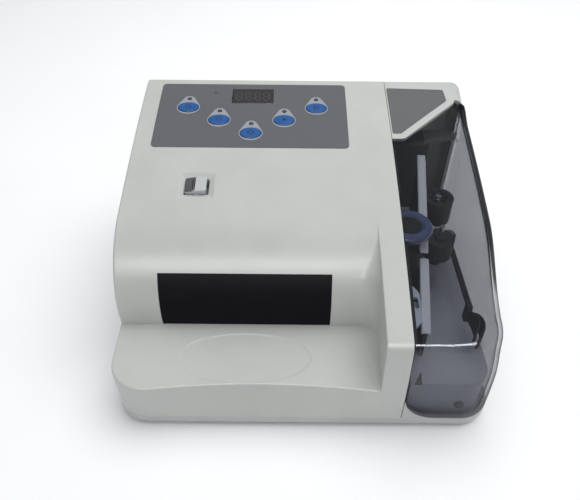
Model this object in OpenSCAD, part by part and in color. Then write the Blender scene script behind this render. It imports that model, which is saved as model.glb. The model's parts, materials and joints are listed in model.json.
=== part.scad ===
// Banknote counting machine: a low desktop case with a sloping crown, a round nose above
// a hand rest, a key panel, and a note channel behind a clear side door.
// Frame: X to the right, Y to the rear, Z up, origin under the middle on the table.
// "Depth" below means the distance behind the front edge; on_frame() turns it into Y.

/* [Case] */
// Width over the covers
body_w = 235; // [230:1:240]
// Depth from the front edge to the rear wall
body_d = 214; // [212:1:218]
// Height of the crown above the table at crown_mid_d behind the front edge
crown_mid_h = 102.6; // [101:0.2:105]
// Depth at which the crown's height and slope are given
crown_mid_d = 100; // [98:1:102]
// Slope of the crown at that depth, in degrees
crown_tilt = 15.65; // [15:0.05:16.5]
// Radius of the crown's long curve
crown_r = 1157; // [1100:1:1300]
// Radius of the round nose
nose_r = 54; // [53:0.5:55]
// Depth of the nose's axis behind the front edge
nose_d = 100.9; // [100:0.1:102]
// Radius of the slightly leaning front face
front_r = 376; // [370:1:400]
// Radius of the bend between the front face and the crown
bend_r = 9; // [7:0.5:10]
// Wall thickness of the covers
wall = 2.5; // [2:0.1:3]
// Height of the rubber feet
foot_h = 3; // [2.5:0.5:4]
// Height of the seam between the base and the covers
seam_h = 9.5; // [9:0.5:10]

/* [Hand rest] */
// Height of the hand rest at its front edge
rest_h = 36.3; // [35:0.1:38]
// Rise of the hand rest for each millimetre of depth
rest_rise = 0.1; // [0.08:0.01:0.12]
// Radius of the hand rest's front edge
rest_edge_r = 1.5; // [1:0.1:3]
// Length of the oval dish in the hand rest
dish_l = 83.7; // [70:0.1:90]
// Width of the oval dish
dish_w = 35.8; // [30:0.1:37]
// Depth of the oval dish
dish_deep = 1.2; // [0.8:0.1:1.6]

/* [Front window] */
// Left and right edge of the window's opening
window_x = [-90.2, 16.8]; // [-92:0.1:18]
// Lower and upper edge of the opening, above the table
window_z = [41.2, 77.8]; // [40:0.1:79]

/* [Fin and door] */
// X of the fin's left face
fin_left = 45; // [43:0.5:46]
// X of the fin's right face, where the note channel begins
fin_right = 60.2; // [59.5:0.1:61]
// Gap between the door and the pieces round it
door_gap = 0.4; // [0.3:0.1:0.6]
// Radius of the door's long top edge
door_edge_r = 7.5; // [7:0.5:10]
// X of the door's hinge axis
hinge_x = 113; // [112.6:0.1:113]
// Depth of the door's hinge axis
hinge_d = 186.5; // [186:0.1:186.8]
// Radius of the steel hinge pins
hinge_pin_r = 1.5; // [1.2:0.1:1.8]

/* [Panel] */
// Left and right edge of the key panel
panel_x = [-104.7, 30.5]; // [-106:0.1:32]
// Front and rear edge of the key panel
panel_d = [141.8, 206.9]; // [140:0.1:208]
// X of the middle key
key_mid_x = -37.2; // [-38:0.1:-36]
// Distance between neighbouring keys along X
key_pitch = 23; // [22:0.1:23.5]
// Depth of the middle key, the lowest of the V
key_mid_d = 155.1; // [154:0.1:157]
// How much deeper each next key of the V lies
key_step_d = 12.7; // [11:0.1:13.5]
// Size of a key's oval cap: width and depth
key_size = [14.7, 10.3]; // [9:0.1:16]
// Radius of a key's lamp
led_r = 1.4; // [1:0.1:1.5]
// Travel of a key
key_travel = 0.6; // [0.4:0.1:0.6]
// Display window: width and depth
display_size = [30, 16]; // [14:0.5:32]
// X of the display window's middle
display_x = -37.4; // [-40:0.1:-34]
// Depth of the display window's middle
display_d = 193.3; // [192:0.1:194]

/* [Power switch] */
// X of the rocker's axis
switch_x = -70; // [-72:0.5:-68]
// Depth of the rocker's middle
switch_d = 109.5; // [108:0.5:111]
// Tilt of the rocker to each side
rocker_tilt = 8; // [6:0.5:9]

/* [Mechanism] */
// Place of the count shaft: X and depth
count_at = [67, 91]; // [66:0.5:92]
// Place of the feed shaft: X and depth
feed_at = [93, 125]; // [92:0.5:126]
// Place of the pressing arm's pin: X and depth
arm_at = [103, 113]; // [102:0.5:114]
// Place of the pinch wheel: X and depth
pinch_at = [90, 93.7]; // [89.8:0.1:94]
// Place of the motor shaft: X and depth
motor_at = [22, 100]; // [18:0.5:102]
// Outer radius of the count roller
count_r = 13; // [12.5:0.1:13]
// Outer radius of the feed roller
feed_r = 10.5; // [10:0.1:10.5]
// Outer radius of the pinch wheel
pinch_r = 9.6; // [9:0.1:9.6]
// Radius of the count and feed shafts
shaft_r = 2; // [1.8:0.1:2.2]
// Radius of the belt track on the shaft pulleys
track_r = 7; // [6.5:0.5:7]
// Radius of the belt track on the motor pulley
motor_track_r = 5; // [4.5:0.5:5.5]
// Height of the note channel's floor
floor_h = 37; // [36:0.5:38]

/* [Hidden] */
$fn = 96;

side_x = body_w / 2;
base_floor = foot_h + wall;
far = 400;
fit = 0.05;
plan_front_r = 21;
plan_rear_r = 6;

overlay_t = 0.3;
key_gap = 0.4;
led_ahead = 9.4;
led_base = -6.8;
status_at = [-64.7, 197];
status_r = 1;
key_x = [for (i = [-2:2]) key_mid_x + key_pitch * i];
key_d = [for (i = [-2:2]) key_mid_d + key_step_d * abs(i)];

// Centres of the long curves in the depth-height plane
crown_c = [crown_mid_d + crown_r * sin(crown_tilt), crown_mid_h - crown_r * cos(crown_tilt)];
front_c = [front_r, foot_h];
nose_c = [nose_d, crown_c[1] + sqrt(pow(crown_r - nose_r, 2) - pow(crown_c[0] - nose_d, 2))];
bend_c = meet(crown_c, crown_r - bend_r, front_c, front_r - bend_r);
rear_r = 2;
rear_c = [body_d - rear_r, crown_z(body_d - rear_r, rear_r)];

nose_a = angle_of(crown_c, nose_c);
bend_a0 = angle_of(crown_c, bend_c);
bend_a1 = angle_of(front_c, bend_c);
rear_a = angle_of(crown_c, rear_c);

// Crown height at a depth, for a surface lying an inset below the outer one
function crown_z(d, inset = 0) =
    crown_c[1] + sqrt(pow(crown_r - inset, 2) - pow(d - crown_c[0], 2));
function crown_slope(d) = asin((crown_c[0] - d) / crown_r);
function rest_z(d) = rest_h + rest_rise * d;
function angle_of(a, b) = atan2(b[1] - a[1], b[0] - a[0]);
function arc(c, r, a0, a1, n) =
    [for (i = [0:n]) c + r * [cos(a0 + (a1 - a0) * i / n), sin(a0 + (a1 - a0) * i / n)]];
function oval(a, b, n = 48) = [for (i = [0:n - 1]) [a * cos(360 * i / n), b * sin(360 * i / n)]];
// Left meeting point of two circles
function meet(a, ra, b, rb) =
    let (u = b - a, l = norm(u), x = (l * l + ra * ra - rb * rb) / (2 * l),
         h = sqrt(ra * ra - x * x))
    a + x * u / l + h * [-u[1], u[0]] / l;

// ---------- frames ----------

// From depth behind the front edge to the part's own Y
module on_frame() translate([0, -body_d / 2, 0]) children();

// Extrudes a depth-height outline along X
module along_x(x0, x1) translate([x0, 0, 0]) rotate([90, 0, 90]) linear_extrude(x1 - x0) children();

// Stands on the crown at a place, with Z along the crown's normal
module on_crown(x, d) translate([x, d, crown_z(d)]) rotate([crown_slope(d), 0, 0]) children();

// A layer that follows the crown, from one inset to another, within a plan outline
module crown_layer(low, high, x0, x1) intersection() {
    translate([x0, crown_c[0], crown_c[1]]) rotate([90, 0, 90]) rotate([0, 0, 96])
        rotate_extrude(angle = 18, $fn = 720) translate([crown_r + low, 0]) square([high - low, x1 - x0]);
    linear_extrude(far) children();
}

// ---------- outlines ----------

// The rear edge: rounded on the outside, square for surfaces that lie deep below it
function rear_edge(inset) = inset < rear_r - 1 ? arc(rear_c, rear_r - inset, 0, rear_a, 5) :
    [[body_d - inset, crown_z(body_d - inset, inset)]];

// Angle at which the crown begins, next to the rear edge
function crown_a(inset) = inset < rear_r - 1 ? rear_a :
    let (d = body_d - inset - 1) angle_of(crown_c, [d, crown_z(d, inset)]);

module body_outline(inset, bottom) {
    polygon(concat(
        [[70, bottom], [body_d - inset, bottom]],
        rear_edge(inset),
        arc(crown_c, crown_r - inset, crown_a(inset), nose_a, 10),
        arc(nose_c, nose_r - inset, nose_a + 2, 192, 22),
        [[70, 30]]
    ));
    polygon(concat(
        [[72, bottom], [72, rest_z(72) - inset]],
        let (e = max(rest_edge_r, inset + 0.3)) arc([e, rest_z(e) - e], e - inset, 90, 180, 5),
        [[inset, bottom]]
    ));
}

module fin_outline(inset, bottom) polygon(concat(
    [[body_d - inset, bottom]],
    rear_edge(inset),
    arc(crown_c, crown_r - inset, crown_a(inset), bend_a0, 12),
    arc(bend_c, max(bend_r - inset, 0.5), bend_a0 + 3, bend_a1 - 3, 8),
    arc(front_c, front_r - inset, bend_a1, 180 - asin((bottom - front_c[1]) / (front_r - inset)), 6)
));

// Plan of the whole case: left half corners, then right half corners
module plan(inset) polygon(concat(
    arc([side_x - plan_rear_r, body_d - plan_rear_r], plan_rear_r - inset, 0, 90, 5),
    arc([plan_rear_r - side_x, body_d - plan_rear_r], plan_rear_r - inset, 90, 180, 5),
    arc([plan_front_r - side_x, plan_front_r], plan_front_r - inset, 180, 270, 10),
    arc([side_x - plan_front_r, plan_front_r], plan_front_r - inset, 270, 360, 10)
));

module box(x, d, z) translate([x[0], d[0], z[0]]) cube([x[1] - x[0], d[1] - d[0], z[1] - z[0]]);
module post(at, r, z0, z1) translate([at[0], at[1], z0]) cylinder(r = r, h = z1 - z0);
module ring(at, r0, r1, z0, z1) difference() {
    post(at, r1, z0, z1);
    post(at, r0, z0 - 1, z1 + 1);
}

// ---------- case ----------

case_screw_at = [[-104, 38], [-104, 196], [50, 196], [52, 16]];
foot_at = [[-94, 24], [94, 24], [-94, 192], [94, 192]];
board_post_at = [[-100, 79], [-20, 79], [-100, 168], [-20, 168]];
web_r = 20;
web_c = [fin_right + door_gap + web_r, 30.3];

module base_pan() difference() {
    translate([0, 0, foot_h]) linear_extrude(seam_h - foot_h) plan(0);
    translate([0, 0, base_floor]) linear_extrude(far) plan(wall);
    for (at = case_screw_at) {
        post(at, 1.7, 0, far);
        post(at, 3.8, 0, foot_h + 1.4);
    }
}

// Low front wall of the base under the door's rounded corner
module front_web() difference() {
    intersection() {
        along_x(fin_right + 0.3, fin_right + web_r) difference() {
            fin_outline(0, seam_h - 0.5);
            fin_outline(wall, 0);
        }
        box([0, side_x], [-1, 30], [seam_h - 0.5, 27]);
    }
    translate([web_c[0], 60, web_c[1]]) rotate([90, 0, 0]) cylinder(r = web_r + door_gap, h = 80);
}

module base_tray() color([0.65, 0.66, 0.66]) on_frame() difference() {
    union() {
        base_pan();
        front_web();
        for (at = board_post_at) post(at, 3.5, base_floor - 0.5, 14);
        post([hinge_x, hinge_d], 3.6, base_floor - 0.5, seam_h);
    }
    for (at = board_post_at) post(at, 1.2, base_floor, far);
    post([hinge_x, hinge_d], hinge_pin_r, base_floor, far);
}

// Shallow scoop that leans out of the hand rest's front, deepest in the middle of its top
scoop_x = [-97, 45];
scoop_deep = 4.5;
scoop_z = 10.5;
scoop_half = (scoop_x[1] - scoop_x[0]) / 2;
scoop_r = (scoop_half * scoop_half + scoop_deep * scoop_deep) / (2 * scoop_deep);
scoop_lean = atan(scoop_deep / (rest_h - scoop_z));
module scoop(inset) intersection() {
    translate([scoop_x[0] + scoop_half, inset, scoop_z]) rotate([-scoop_lean, 0, 0])
        translate([0, -scoop_r, -20]) cylinder(r = scoop_r, h = 80, $fn = 720);
    box([scoop_x[0] - 5, scoop_x[1] - 0.3], [-20, 20], [0, rest_h + 1.5]);
}

module case_solid(inset, bottom, x1) intersection() {
    union() {
        difference() {
            along_x(inset - side_x, x1) body_outline(inset, bottom);
            scoop(inset);
        }
        along_x(fin_left + inset, x1) fin_outline(inset, bottom);
    }
    linear_extrude(far) plan(inset);
}

// Concave fillet between the fin and the hand rest, and between the fin and the nose
fillet_r = 7;
module fillet_outline() difference() {
    translate([-fillet_r, -1]) square([fillet_r + 1, fillet_r + 1]);
    translate([-fillet_r, fillet_r]) circle(r = fillet_r - 0.05, $fn = 48);
}
module fin_fillet() intersection() {
    union() {
        translate([fin_left, 52, rest_z(52)]) rotate([90 + atan(rest_rise), 0, 0])
            linear_extrude(60) fillet_outline();
        translate([0, nose_c[0], nose_c[1]]) rotate([90, 0, 90]) rotate([0, 0, 104])
            rotate_extrude(angle = 88, $fn = 120) translate([nose_r, fin_left])
            mirror([1, -1]) fillet_outline();
    }
    along_x(fin_left - 12, fin_left + 2) fin_outline(0.05, seam_h + 1);
    linear_extrude(far) plan(0.05);
}

// A band round the nose where the window is, a gap smaller on each side, between two radii
module nose_band(gap, r0, r1) {
    a0 = 180 - asin((window_z[1] - gap - nose_c[1]) / nose_r);
    a1 = 180 + asin((nose_c[1] - window_z[0] - gap) / nose_r);
    translate([window_x[0] + gap, nose_c[0], nose_c[1]]) rotate([90, 0, 90]) rotate([0, 0, a0])
        rotate_extrude(angle = a1 - a0, $fn = 180) translate([r0, 0])
            square([r1 - r0, window_x[1] - window_x[0] - 2 * gap]);
}

// Holes for the keys and their lamps, through whatever lies near the crown
module key_holes() {
    for (i = [0:4]) on_crown(key_x[i], key_d[i]) {
        translate([0, 0, -6]) linear_extrude(12)
            polygon(oval(key_size[0] / 2 + key_gap, key_size[1] / 2 + key_gap));
        translate([0, led_ahead, -6]) cylinder(r = led_r + 0.3, h = 12);
    }
    on_crown(status_at[0], status_at[1]) translate([0, 0, -6]) cylinder(r = status_r + 0.2, h = 12);
}

module main_cover() color([0.79, 0.79, 0.77]) on_frame() difference() {
    union() {
        difference() {
            union() {
                case_solid(0, seam_h, fin_right);
                fin_fillet();
            }
            case_solid(wall, seam_h - 5, fin_right - wall);
            along_x(fin_right - wall - 1, fin_right + 1) intersection() {
                fin_outline(wall + 5, 0);
                translate([16, 0]) square([far, far]);
            }
            along_x(fin_right - wall - 1, fin_right + 1) intersection() {
                fin_outline(wall, 0);
                translate([70, 60]) square([42, far]);
            }
        }
        for (at = case_screw_at) post(at, 4, seam_h, 30);
        for (d = [38, 196]) box([1 - side_x, -104], [d - 1, d + 1], [seam_h, 30]);
        box([49, 51], [196, body_d - 1], [seam_h, 30]);
        box([51, 53], [1.5, 16], [seam_h, 30]);
        for (x = [-98, -8], d = [150, 199]) on_crown(x, d) translate([0, 0, -7.4]) cylinder(r = 2.6, h = 6);
    }
    for (at = case_screw_at) post(at, 1.4, 0, 22);
    translate([-36.7, 23.3, rest_z(23.3)]) rotate([atan(rest_rise), 0, 0]) translate([0, 0, -dish_deep])
        linear_extrude(10) polygon(oval(dish_l / 2, dish_w / 2, 64));
    nose_band(0, nose_r - 6, nose_r + 6);
    key_holes();
    on_crown(display_x, display_d) translate([0, 0, -1])
        cube([display_size[0] + 0.4, display_size[1] + 0.4, 12], center = true);
    on_crown(switch_x, switch_d) {
        translate([0, 0, -4]) cube([19.4, 16.4, 14], center = true);
        hull() {
            translate([0, 0, -1.4]) cube([20.4, 16.6, 0.02], center = true);
            translate([0, 0, 0.4]) cube([26, 21, 0.02], center = true);
        }
    }
    translate([-80, body_d + 1, 30]) rotate([90, 0, 0]) cylinder(r = 5.2, h = 8);
}

module corner_plan() polygon(concat(
    [[fin_right + door_gap, 151.4], [69, 151.5], [112.3, 191.2], [112.3, 191.5], [side_x, 191.5]],
    arc([side_x - plan_rear_r, body_d - plan_rear_r], plan_rear_r, 0, 90, 5),
    [[fin_right + door_gap, body_d]]
));

// What the long rounded edge above the door takes off a solid with the given inset
module edge_cutter(inset) translate([0, crown_c[0], crown_c[1]]) rotate([90, 0, 90]) rotate([0, 0, 94])
    rotate_extrude(angle = 24, $fn = 720) polygon(concat(
        arc([crown_r - door_edge_r, side_x - door_edge_r], door_edge_r - inset + 0.02, -1, 91, 8),
        [[crown_r - door_edge_r, side_x + 30], [crown_r + 30, side_x + 30],
         [crown_r + 30, side_x - door_edge_r]]
    ));

module corner_solid(inset, x0) difference() {
    intersection() {
        along_x(x0, side_x) fin_outline(inset, seam_h - inset * 2);
        linear_extrude(far) plan(inset);
    }
    edge_cutter(inset);
}

module corner_cover() color([0.79, 0.79, 0.77]) on_frame() intersection() {
    difference() {
        corner_solid(0, fin_right + door_gap);
        corner_solid(wall, 0);
        post([hinge_x, hinge_d], lug_r + 0.5, 0, far);
    }
    linear_extrude(far) corner_plan();
}

module corner_label() color([0.40, 0.41, 0.42]) on_frame() crown_layer(0, 0.25, 0, side_x)
    offset(r = 1.2, $fn = 24) offset(delta = -1.2)
    polygon([[61.4, 204], [103.2, 202.6], [104, 190.4], [67.3, 156.3], [61.4, 156.2]]);

module front_window() color([0.03, 0.03, 0.05]) on_frame() nose_band(0.2, nose_r - 2.1, nose_r - 0.1);

module rubber_feet() color([0.12, 0.12, 0.12]) on_frame() for (at = foot_at)
    translate([at[0], at[1], 0]) rotate_extrude() polygon([[0, 0], [6, 0], [7, foot_h], [0, foot_h]]);

module case_screws() color([0.72, 0.72, 0.70]) on_frame() for (at = case_screw_at) difference() {
    union() {
        post(at, 1.4, foot_h + 0.6, 21.5);
        post(at, 3.2, foot_h + 0.2, foot_h + 1.4);
    }
    for (a = [0, 90]) translate([at[0], at[1], foot_h]) rotate([0, 0, a])
        cube([3.6, 0.7, 1.6], center = true);
}

module dc_jack() color([0.10, 0.10, 0.10]) on_frame() translate([-80, body_d - 0.4, 30]) rotate([90, 0, 0]) {
    difference() {
        union() {
            cylinder(r = 5.1, h = 3);
            translate([-5.5, -5.5, 3]) cube([11, 11, 12]);
        }
        translate([0, 0, -1]) cylinder(r = 2.8, h = 11);
    }
    cylinder(r = 1, h = 10.5);
}

// ---------- key panel ----------

module panel_overlay() color([0.44, 0.45, 0.46]) on_frame() difference() {
    crown_layer(0, overlay_t, -side_x, side_x) offset(r = 3, $fn = 32) offset(delta = -3)
        polygon([[panel_x[0], panel_d[0]], [panel_x[1], panel_d[0]],
                 [panel_x[1], panel_d[1]], [panel_x[0], panel_d[1]]]);
    key_holes();
    on_crown(display_x, display_d) cube([display_size[0] + 0.3, display_size[1] + 0.3, 6], center = true);
}

module key_surrounds() color([0.80, 0.82, 0.84]) on_frame() for (i = [0:4]) difference() {
    crown_layer(overlay_t, overlay_t + 0.2, -side_x, side_x) translate([key_x[i], key_d[i]]) hull() {
        polygon(oval(8.35, 6.9, 40));
        translate([0, 7.6]) circle(r = 4.4, $fn = 40);
    }
    key_holes();
}

module key_cap(i) color([0.22, 0.38, 0.68]) on_frame() on_crown(key_x[i], key_d[i]) {
    translate([0, 0, -1.8]) linear_extrude(3) polygon(oval(key_size[0] / 2, key_size[1] / 2));
    translate([0, 0, -3]) cylinder(r = 2, h = 1.4);
}
module key_1() key_cap(0);
module key_2() key_cap(1);
module key_3() key_cap(2);
module key_4() key_cap(3);
module key_5() key_cap(4);

module indicator_leds() color([0.25, 0.25, 0.28]) on_frame() {
    for (i = [0:4]) on_crown(key_x[i], key_d[i]) translate([0, led_ahead, led_base])
        cylinder(r = led_r, h = 0.7 - led_base, $fn = 32);
    on_crown(status_at[0], status_at[1]) translate([0, 0, led_base])
        cylinder(r = status_r, h = 0.6 - led_base, $fn = 32);
}

module display_lens() color([0.10, 0.05, 0.06]) on_frame() on_crown(display_x, display_d)
    translate([0, 0, -0.5]) cube([display_size[0], display_size[1], 1.6], center = true);

module display_module() color([0.18, 0.17, 0.17]) on_frame() on_crown(display_x, display_d)
    translate([0, 0, -4.1]) cube([display_size[0] - 1, 14, 5.2], center = true);

// The key board lies in one plane under the panel
board_d = 174;
module on_board() on_crown(0, board_d) translate([0, 0, -9]) children();

module key_board() color([0.16, 0.36, 0.22]) on_frame() on_board()
    translate([-100, -31, 0]) cube([126, 62, 1.2]);

module key_switches() color([0.20, 0.20, 0.20]) on_frame() for (i = [0:4])
    on_crown(key_x[i], key_d[i]) translate([0, 0, -5.5]) cube([6, 6, 3], center = true);

// ---------- power switch ----------

rocker_pivot = -2;
module switch_frame() color([0.74, 0.75, 0.75]) on_frame() on_crown(switch_x, switch_d) difference() {
    translate([0, 0, -5.7]) cube([19, 16, 8.8], center = true);
    translate([0, 0, -4.2]) cube([15.8, 12.2, 9.2], center = true);
    translate([0, 10, rocker_pivot]) rotate([90, 0, 0]) cylinder(r = 1.2 + fit, h = 20);
}

module rocker() color([0.72, 0.73, 0.74]) on_frame() on_crown(switch_x, switch_d)
    translate([0, 0, rocker_pivot]) rotate([0, -rocker_tilt, 0]) {
        translate([0, 5.8, 0]) rotate([90, 0, 0]) linear_extrude(11.6)
            polygon([[-6, -2], [6, -2], [7.1, 3], [1.2, 3.9], [-1.2, 3.9], [-7.1, 3]]);
        translate([0, 6.9, 0]) rotate([90, 0, 0]) cylinder(r = 1.2, h = 13.8);
    }

// ---------- electronics ----------

module main_board() color([0.14, 0.34, 0.20]) on_frame() difference() {
    box([-106, -14], [74, 174], [14, 15.6]);
    for (at = board_post_at) post(at, 1.6, 0, 20);
}

module board_parts() color([0.15, 0.15, 0.17]) on_frame() {
    box([-90, -70], [110, 124], [15.6, 18.6]);
    box([-60, -40], [120, 136], [15.6, 18]);
    box([-100, -84], [150, 160], [15.6, 25]);
    box([-44, -26], [152, 166], [15.6, 34]);
    for (at = [[-60, 84], [-44, 84], [-28, 92]]) post(at, 5, 15.6, 32);
    box([-86, -68], [80, 88], [15.6, 24]);
}

module ribbon_cable() color([0.62, 0.62, 0.60]) on_frame() along_x(-70, -54) polygon(concat(
    [[146, 15.6], [147, 15.6]],
    [for (i = [0:10]) [147 + 14 * sin(180 * i / 10), 15.6 + i * 8.7]],
    [for (i = [10:-1:0]) [146 + 14 * sin(180 * i / 10), 15.6 + i * 8.7]]
));

module uv_lamp() color([0.70, 0.72, 0.80]) on_frame()
    translate([-84, 64, 62]) rotate([0, 90, 0]) cylinder(r = 3.2, h = 94);

module lamp_reflector() color([0.80, 0.80, 0.78]) on_frame() difference() {
    union() {
        box([-92, 18], [69, 70], [52, 72]);
        for (x = [-90, 11]) {
            box([x, x + 5], [58, 69], [57, 67]);
            box([x, x + 5], [69, 73], [base_floor, 52]);
        }
    }
    translate([-84.1, 64, 62]) rotate([0, 90, 0]) cylinder(r = 3.2, h = 94.2);
}

// ---------- note channel ----------

bar_from = [72, 27];
bar_to = [84, 156];
bar_l = norm(bar_to - bar_from);
bar_turn = -atan((bar_to[0] - bar_from[0]) / (bar_to[1] - bar_from[1]));
bar_h = [60, 100];
pad_x = 0.6;
module on_bar() translate([bar_from[0], bar_from[1], 0]) rotate([0, 0, bar_turn]) children();

module side_frame() color([0.11, 0.11, 0.12]) on_frame()
    along_x(fin_right + 0.5, fin_right + 3) difference() {
    intersection() {
        fin_outline(5, base_floor);
        translate([12, base_floor]) square([184, far]);
    }
    translate([75, 0]) square([32, 24]);
    translate([72, 56]) square([38, far]);
}

magnet_r = 2.9;
module magnet_at() translate([96, 5, 16]) rotate([-90, 0, 0]) children();

floor_plan_r = 14;
module floor_outline(inset) polygon(concat(
    [[fin_right + 3.2, 6.5 + inset]],
    arc([112 - floor_plan_r, 6.5 + floor_plan_r], floor_plan_r - inset, 270, 360, 6),
    [[112 - inset, 172], [100, 184 - inset], [fin_right + 3.2, 184 - inset]]
));
module channel_floor() color([0.46, 0.50, 0.60]) on_frame() difference() {
    translate([0, 0, base_floor]) linear_extrude(floor_h - base_floor) floor_outline(0);
    intersection() {
        translate([0, 0, -1]) linear_extrude(floor_h - 1.5) floor_outline(2);
        box([0, side_x], [0, body_d], [0, floor_h - 2.5]);
    }
    box([fin_right, 66.5], [75, 107], [0, 24]);
    for (at = [count_at, feed_at]) post(at, bush_r, 0, far);
    post(arm_at, 2, 0, far);
    magnet_at() cylinder(r = magnet_r + 0.1, h = 12, center = true);
}

module guide_plate() color([0.66, 0.69, 0.74]) on_frame() on_bar() difference() {
    union() {
        translate([-1.25, 0, 0]) rotate([90, 0, 90]) linear_extrude(2.5)
            polygon([[0, floor_h], [bar_l, floor_h], [bar_l, bar_h[1]], [0, bar_h[0]]]);
        translate([-2.9, 0, 0]) rotate([90, 0, 90]) linear_extrude(5.8)
            polygon([[0, bar_h[0] - 2], [bar_l, bar_h[1] - 2], [bar_l, bar_h[1]], [0, bar_h[0]]]);
    }
    translate([-10, 48, 57]) cube([20, 32, 19]);
    translate([pad_x, 90, 66]) cube([2, 16, 20]);
}

module friction_pad() color([0.15, 0.15, 0.16]) on_frame() on_bar()
    translate([pad_x, 90, 66]) cube([0.7, 16, 20]);

// Round-ended plate that limits the note width, held by one screw in its slot
adjust_c = [47, 44];
slot_at = [67.8, 45];
module adjust_plate() color([0.62, 0.66, 0.74]) on_frame() difference() {
    intersection() {
        post(adjust_c, 25.6, 64, 66);
        box([fin_right + 3, 80], [0, 80], [60, 70]);
    }
    on_bar() translate([-3.2, -10, 50]) cube([30, bar_l, 40]);
    translate([slot_at[0], slot_at[1], 60]) linear_extrude(10)
        polygon(concat(arc([0, 3], 1.6, 0, 180, 12), arc([0, -3], 1.6, 180, 360, 12)));
}

module adjust_screw() color([0.50, 0.52, 0.56]) on_frame() {
    post(slot_at, 1.5, floor_h, 64);
    post(slot_at, 2.4, 61.5, 64);
}

module photo_sensor() color([0.10, 0.10, 0.11]) on_frame() on_bar()
    translate([-7.25, 20, 42]) cube([6, 12, 14]);

module magnetic_head() color([0.60, 0.60, 0.58]) on_frame() on_bar()
    translate([-9.25, 86, 58]) cube([8, 9, 14]);

bush_r = 3.7;
module shaft_bushes() color([0.70, 0.58, 0.32]) on_frame() for (at = [count_at, feed_at]) {
    ring(at, shaft_r + fit, bush_r, base_floor, 9);
    ring(at, shaft_r + fit, bush_r, floor_h - 2.5, floor_h + 1);
}

// ---------- drive ----------

// One belt wheel: a track between two flanges, standing on height z
module belt_wheel(at, r, bore, z) difference() {
    union() {
        post(at, r + 1.5, z, z + 1);
        post(at, r, z + 0.5, z + 4.5);
        post(at, r + 1.5, z + 4, z + 5);
    }
    post(at, bore, z - 1, z + 6);
}
module belt(a, ra, b, rb, z) translate([0, 0, z]) linear_extrude(2.4) difference() {
    hull() {
        translate(a) circle(r = ra + 1.5, $fn = 64);
        translate(b) circle(r = rb + 1.5, $fn = 64);
    }
    hull() {
        translate(a) circle(r = ra + 0.35, $fn = 64);
        translate(b) circle(r = rb + 0.35, $fn = 64);
    }
}

low_wheel = 11;
high_wheel = 16;

module motor() color([0.62, 0.63, 0.64]) on_frame() difference() {
    union() {
        post(motor_at, 17.5, 24, 58);
        post(motor_at, 5, 58, 61);
    }
    post(motor_at, 1.6, 20, 40);
}

module motor_bracket() color([0.70, 0.71, 0.72]) on_frame() {
    difference() {
        box([-4, 46], [76, 124], [21.5, 24]);
        post(motor_at, 5, 20, 26);
    }
    for (x = [-4, 43], d = [76, 121]) box([x, x + 3], [d, d + 3], [base_floor, 21.5]);
}

module motor_pulley() color([0.80, 0.80, 0.76]) on_frame() union() {
    belt_wheel(motor_at, motor_track_r, 1.1, low_wheel);
    post(motor_at, 1.5, low_wheel - 1, 38);
}

module drive_belt() color([0.09, 0.09, 0.09]) on_frame()
    belt(motor_at, motor_track_r, count_at, track_r, low_wheel + 1.3);
module feed_belt() color([0.09, 0.09, 0.09]) on_frame()
    belt(count_at, track_r, feed_at, track_r, high_wheel + 1.3);

module count_shaft() color([0.75, 0.76, 0.77]) on_frame() post(count_at, shaft_r, base_floor + 0.5, 84.6);
module count_pulley() color([0.80, 0.80, 0.76]) on_frame() union() {
    belt_wheel(count_at, track_r, shaft_r, low_wheel);
    belt_wheel(count_at, track_r, shaft_r, high_wheel);
}
module count_roller() color([0.14, 0.14, 0.15]) on_frame() ring(count_at, shaft_r, count_r, 60, 74);

knob_z = 84.6;
module hand_knob() color([0.38, 0.43, 0.58]) on_frame() translate([count_at[0], count_at[1], knob_z])
    rotate_extrude() polygon(concat(
        [[8.2, 0], [14.5, 0]],
        arc([13, 3], 2.5, -35, 90, 8),
        [[10, 5.5], [8.2, 4.2]]
    ));
module knob_cap() color([0.07, 0.07, 0.08]) on_frame() translate([count_at[0], count_at[1], knob_z])
    rotate_extrude() polygon([[0, 0], [8.2, 0], [8.2, 4.6], [6.5, 5.8], [0, 6.2]]);

module feed_shaft() color([0.75, 0.76, 0.77]) on_frame() post(feed_at, shaft_r, base_floor + 0.5, 87);
module feed_pulley() color([0.80, 0.80, 0.76]) on_frame() belt_wheel(feed_at, track_r, shaft_r, high_wheel);
module feed_hub() color([0.16, 0.16, 0.17]) on_frame() difference() {
    ring(feed_at, shaft_r, 7.5, 68.5, 85.5);
    for (a = [0:60:300]) translate([feed_at[0], feed_at[1], 60]) rotate([0, 0, a]) translate([4.9, 0, 0])
        cylinder(r = 1.3, h = 40, $fn = 24);
}
module feed_tyre() color([0.12, 0.12, 0.12]) on_frame() ring(feed_at, 7.5, feed_r, 68, 86);

// ---------- pressing arm ----------

arm_z = [54, 58];
module pressing_arm() color([0.13, 0.13, 0.14]) on_frame() difference() {
    union() {
        post(arm_at, 4.5, 54, 62);
        post(pinch_at, 3.6, arm_z[0], arm_z[1]);
        translate([arm_at[0], arm_at[1], arm_z[0]]) rotate([0, 0, angle_of(arm_at, pinch_at)])
            translate([0, -3, 0]) cube([norm(pinch_at - arm_at), 6, arm_z[1] - arm_z[0]]);
        translate([arm_at[0] - 1.4, 52, 56.6]) cube([2.8, arm_at[1] - 54, 2.8]);
    }
    post(arm_at, 2 + fit, 0, far);
    post(pinch_at, 1.5, 0, far);
}

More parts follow.
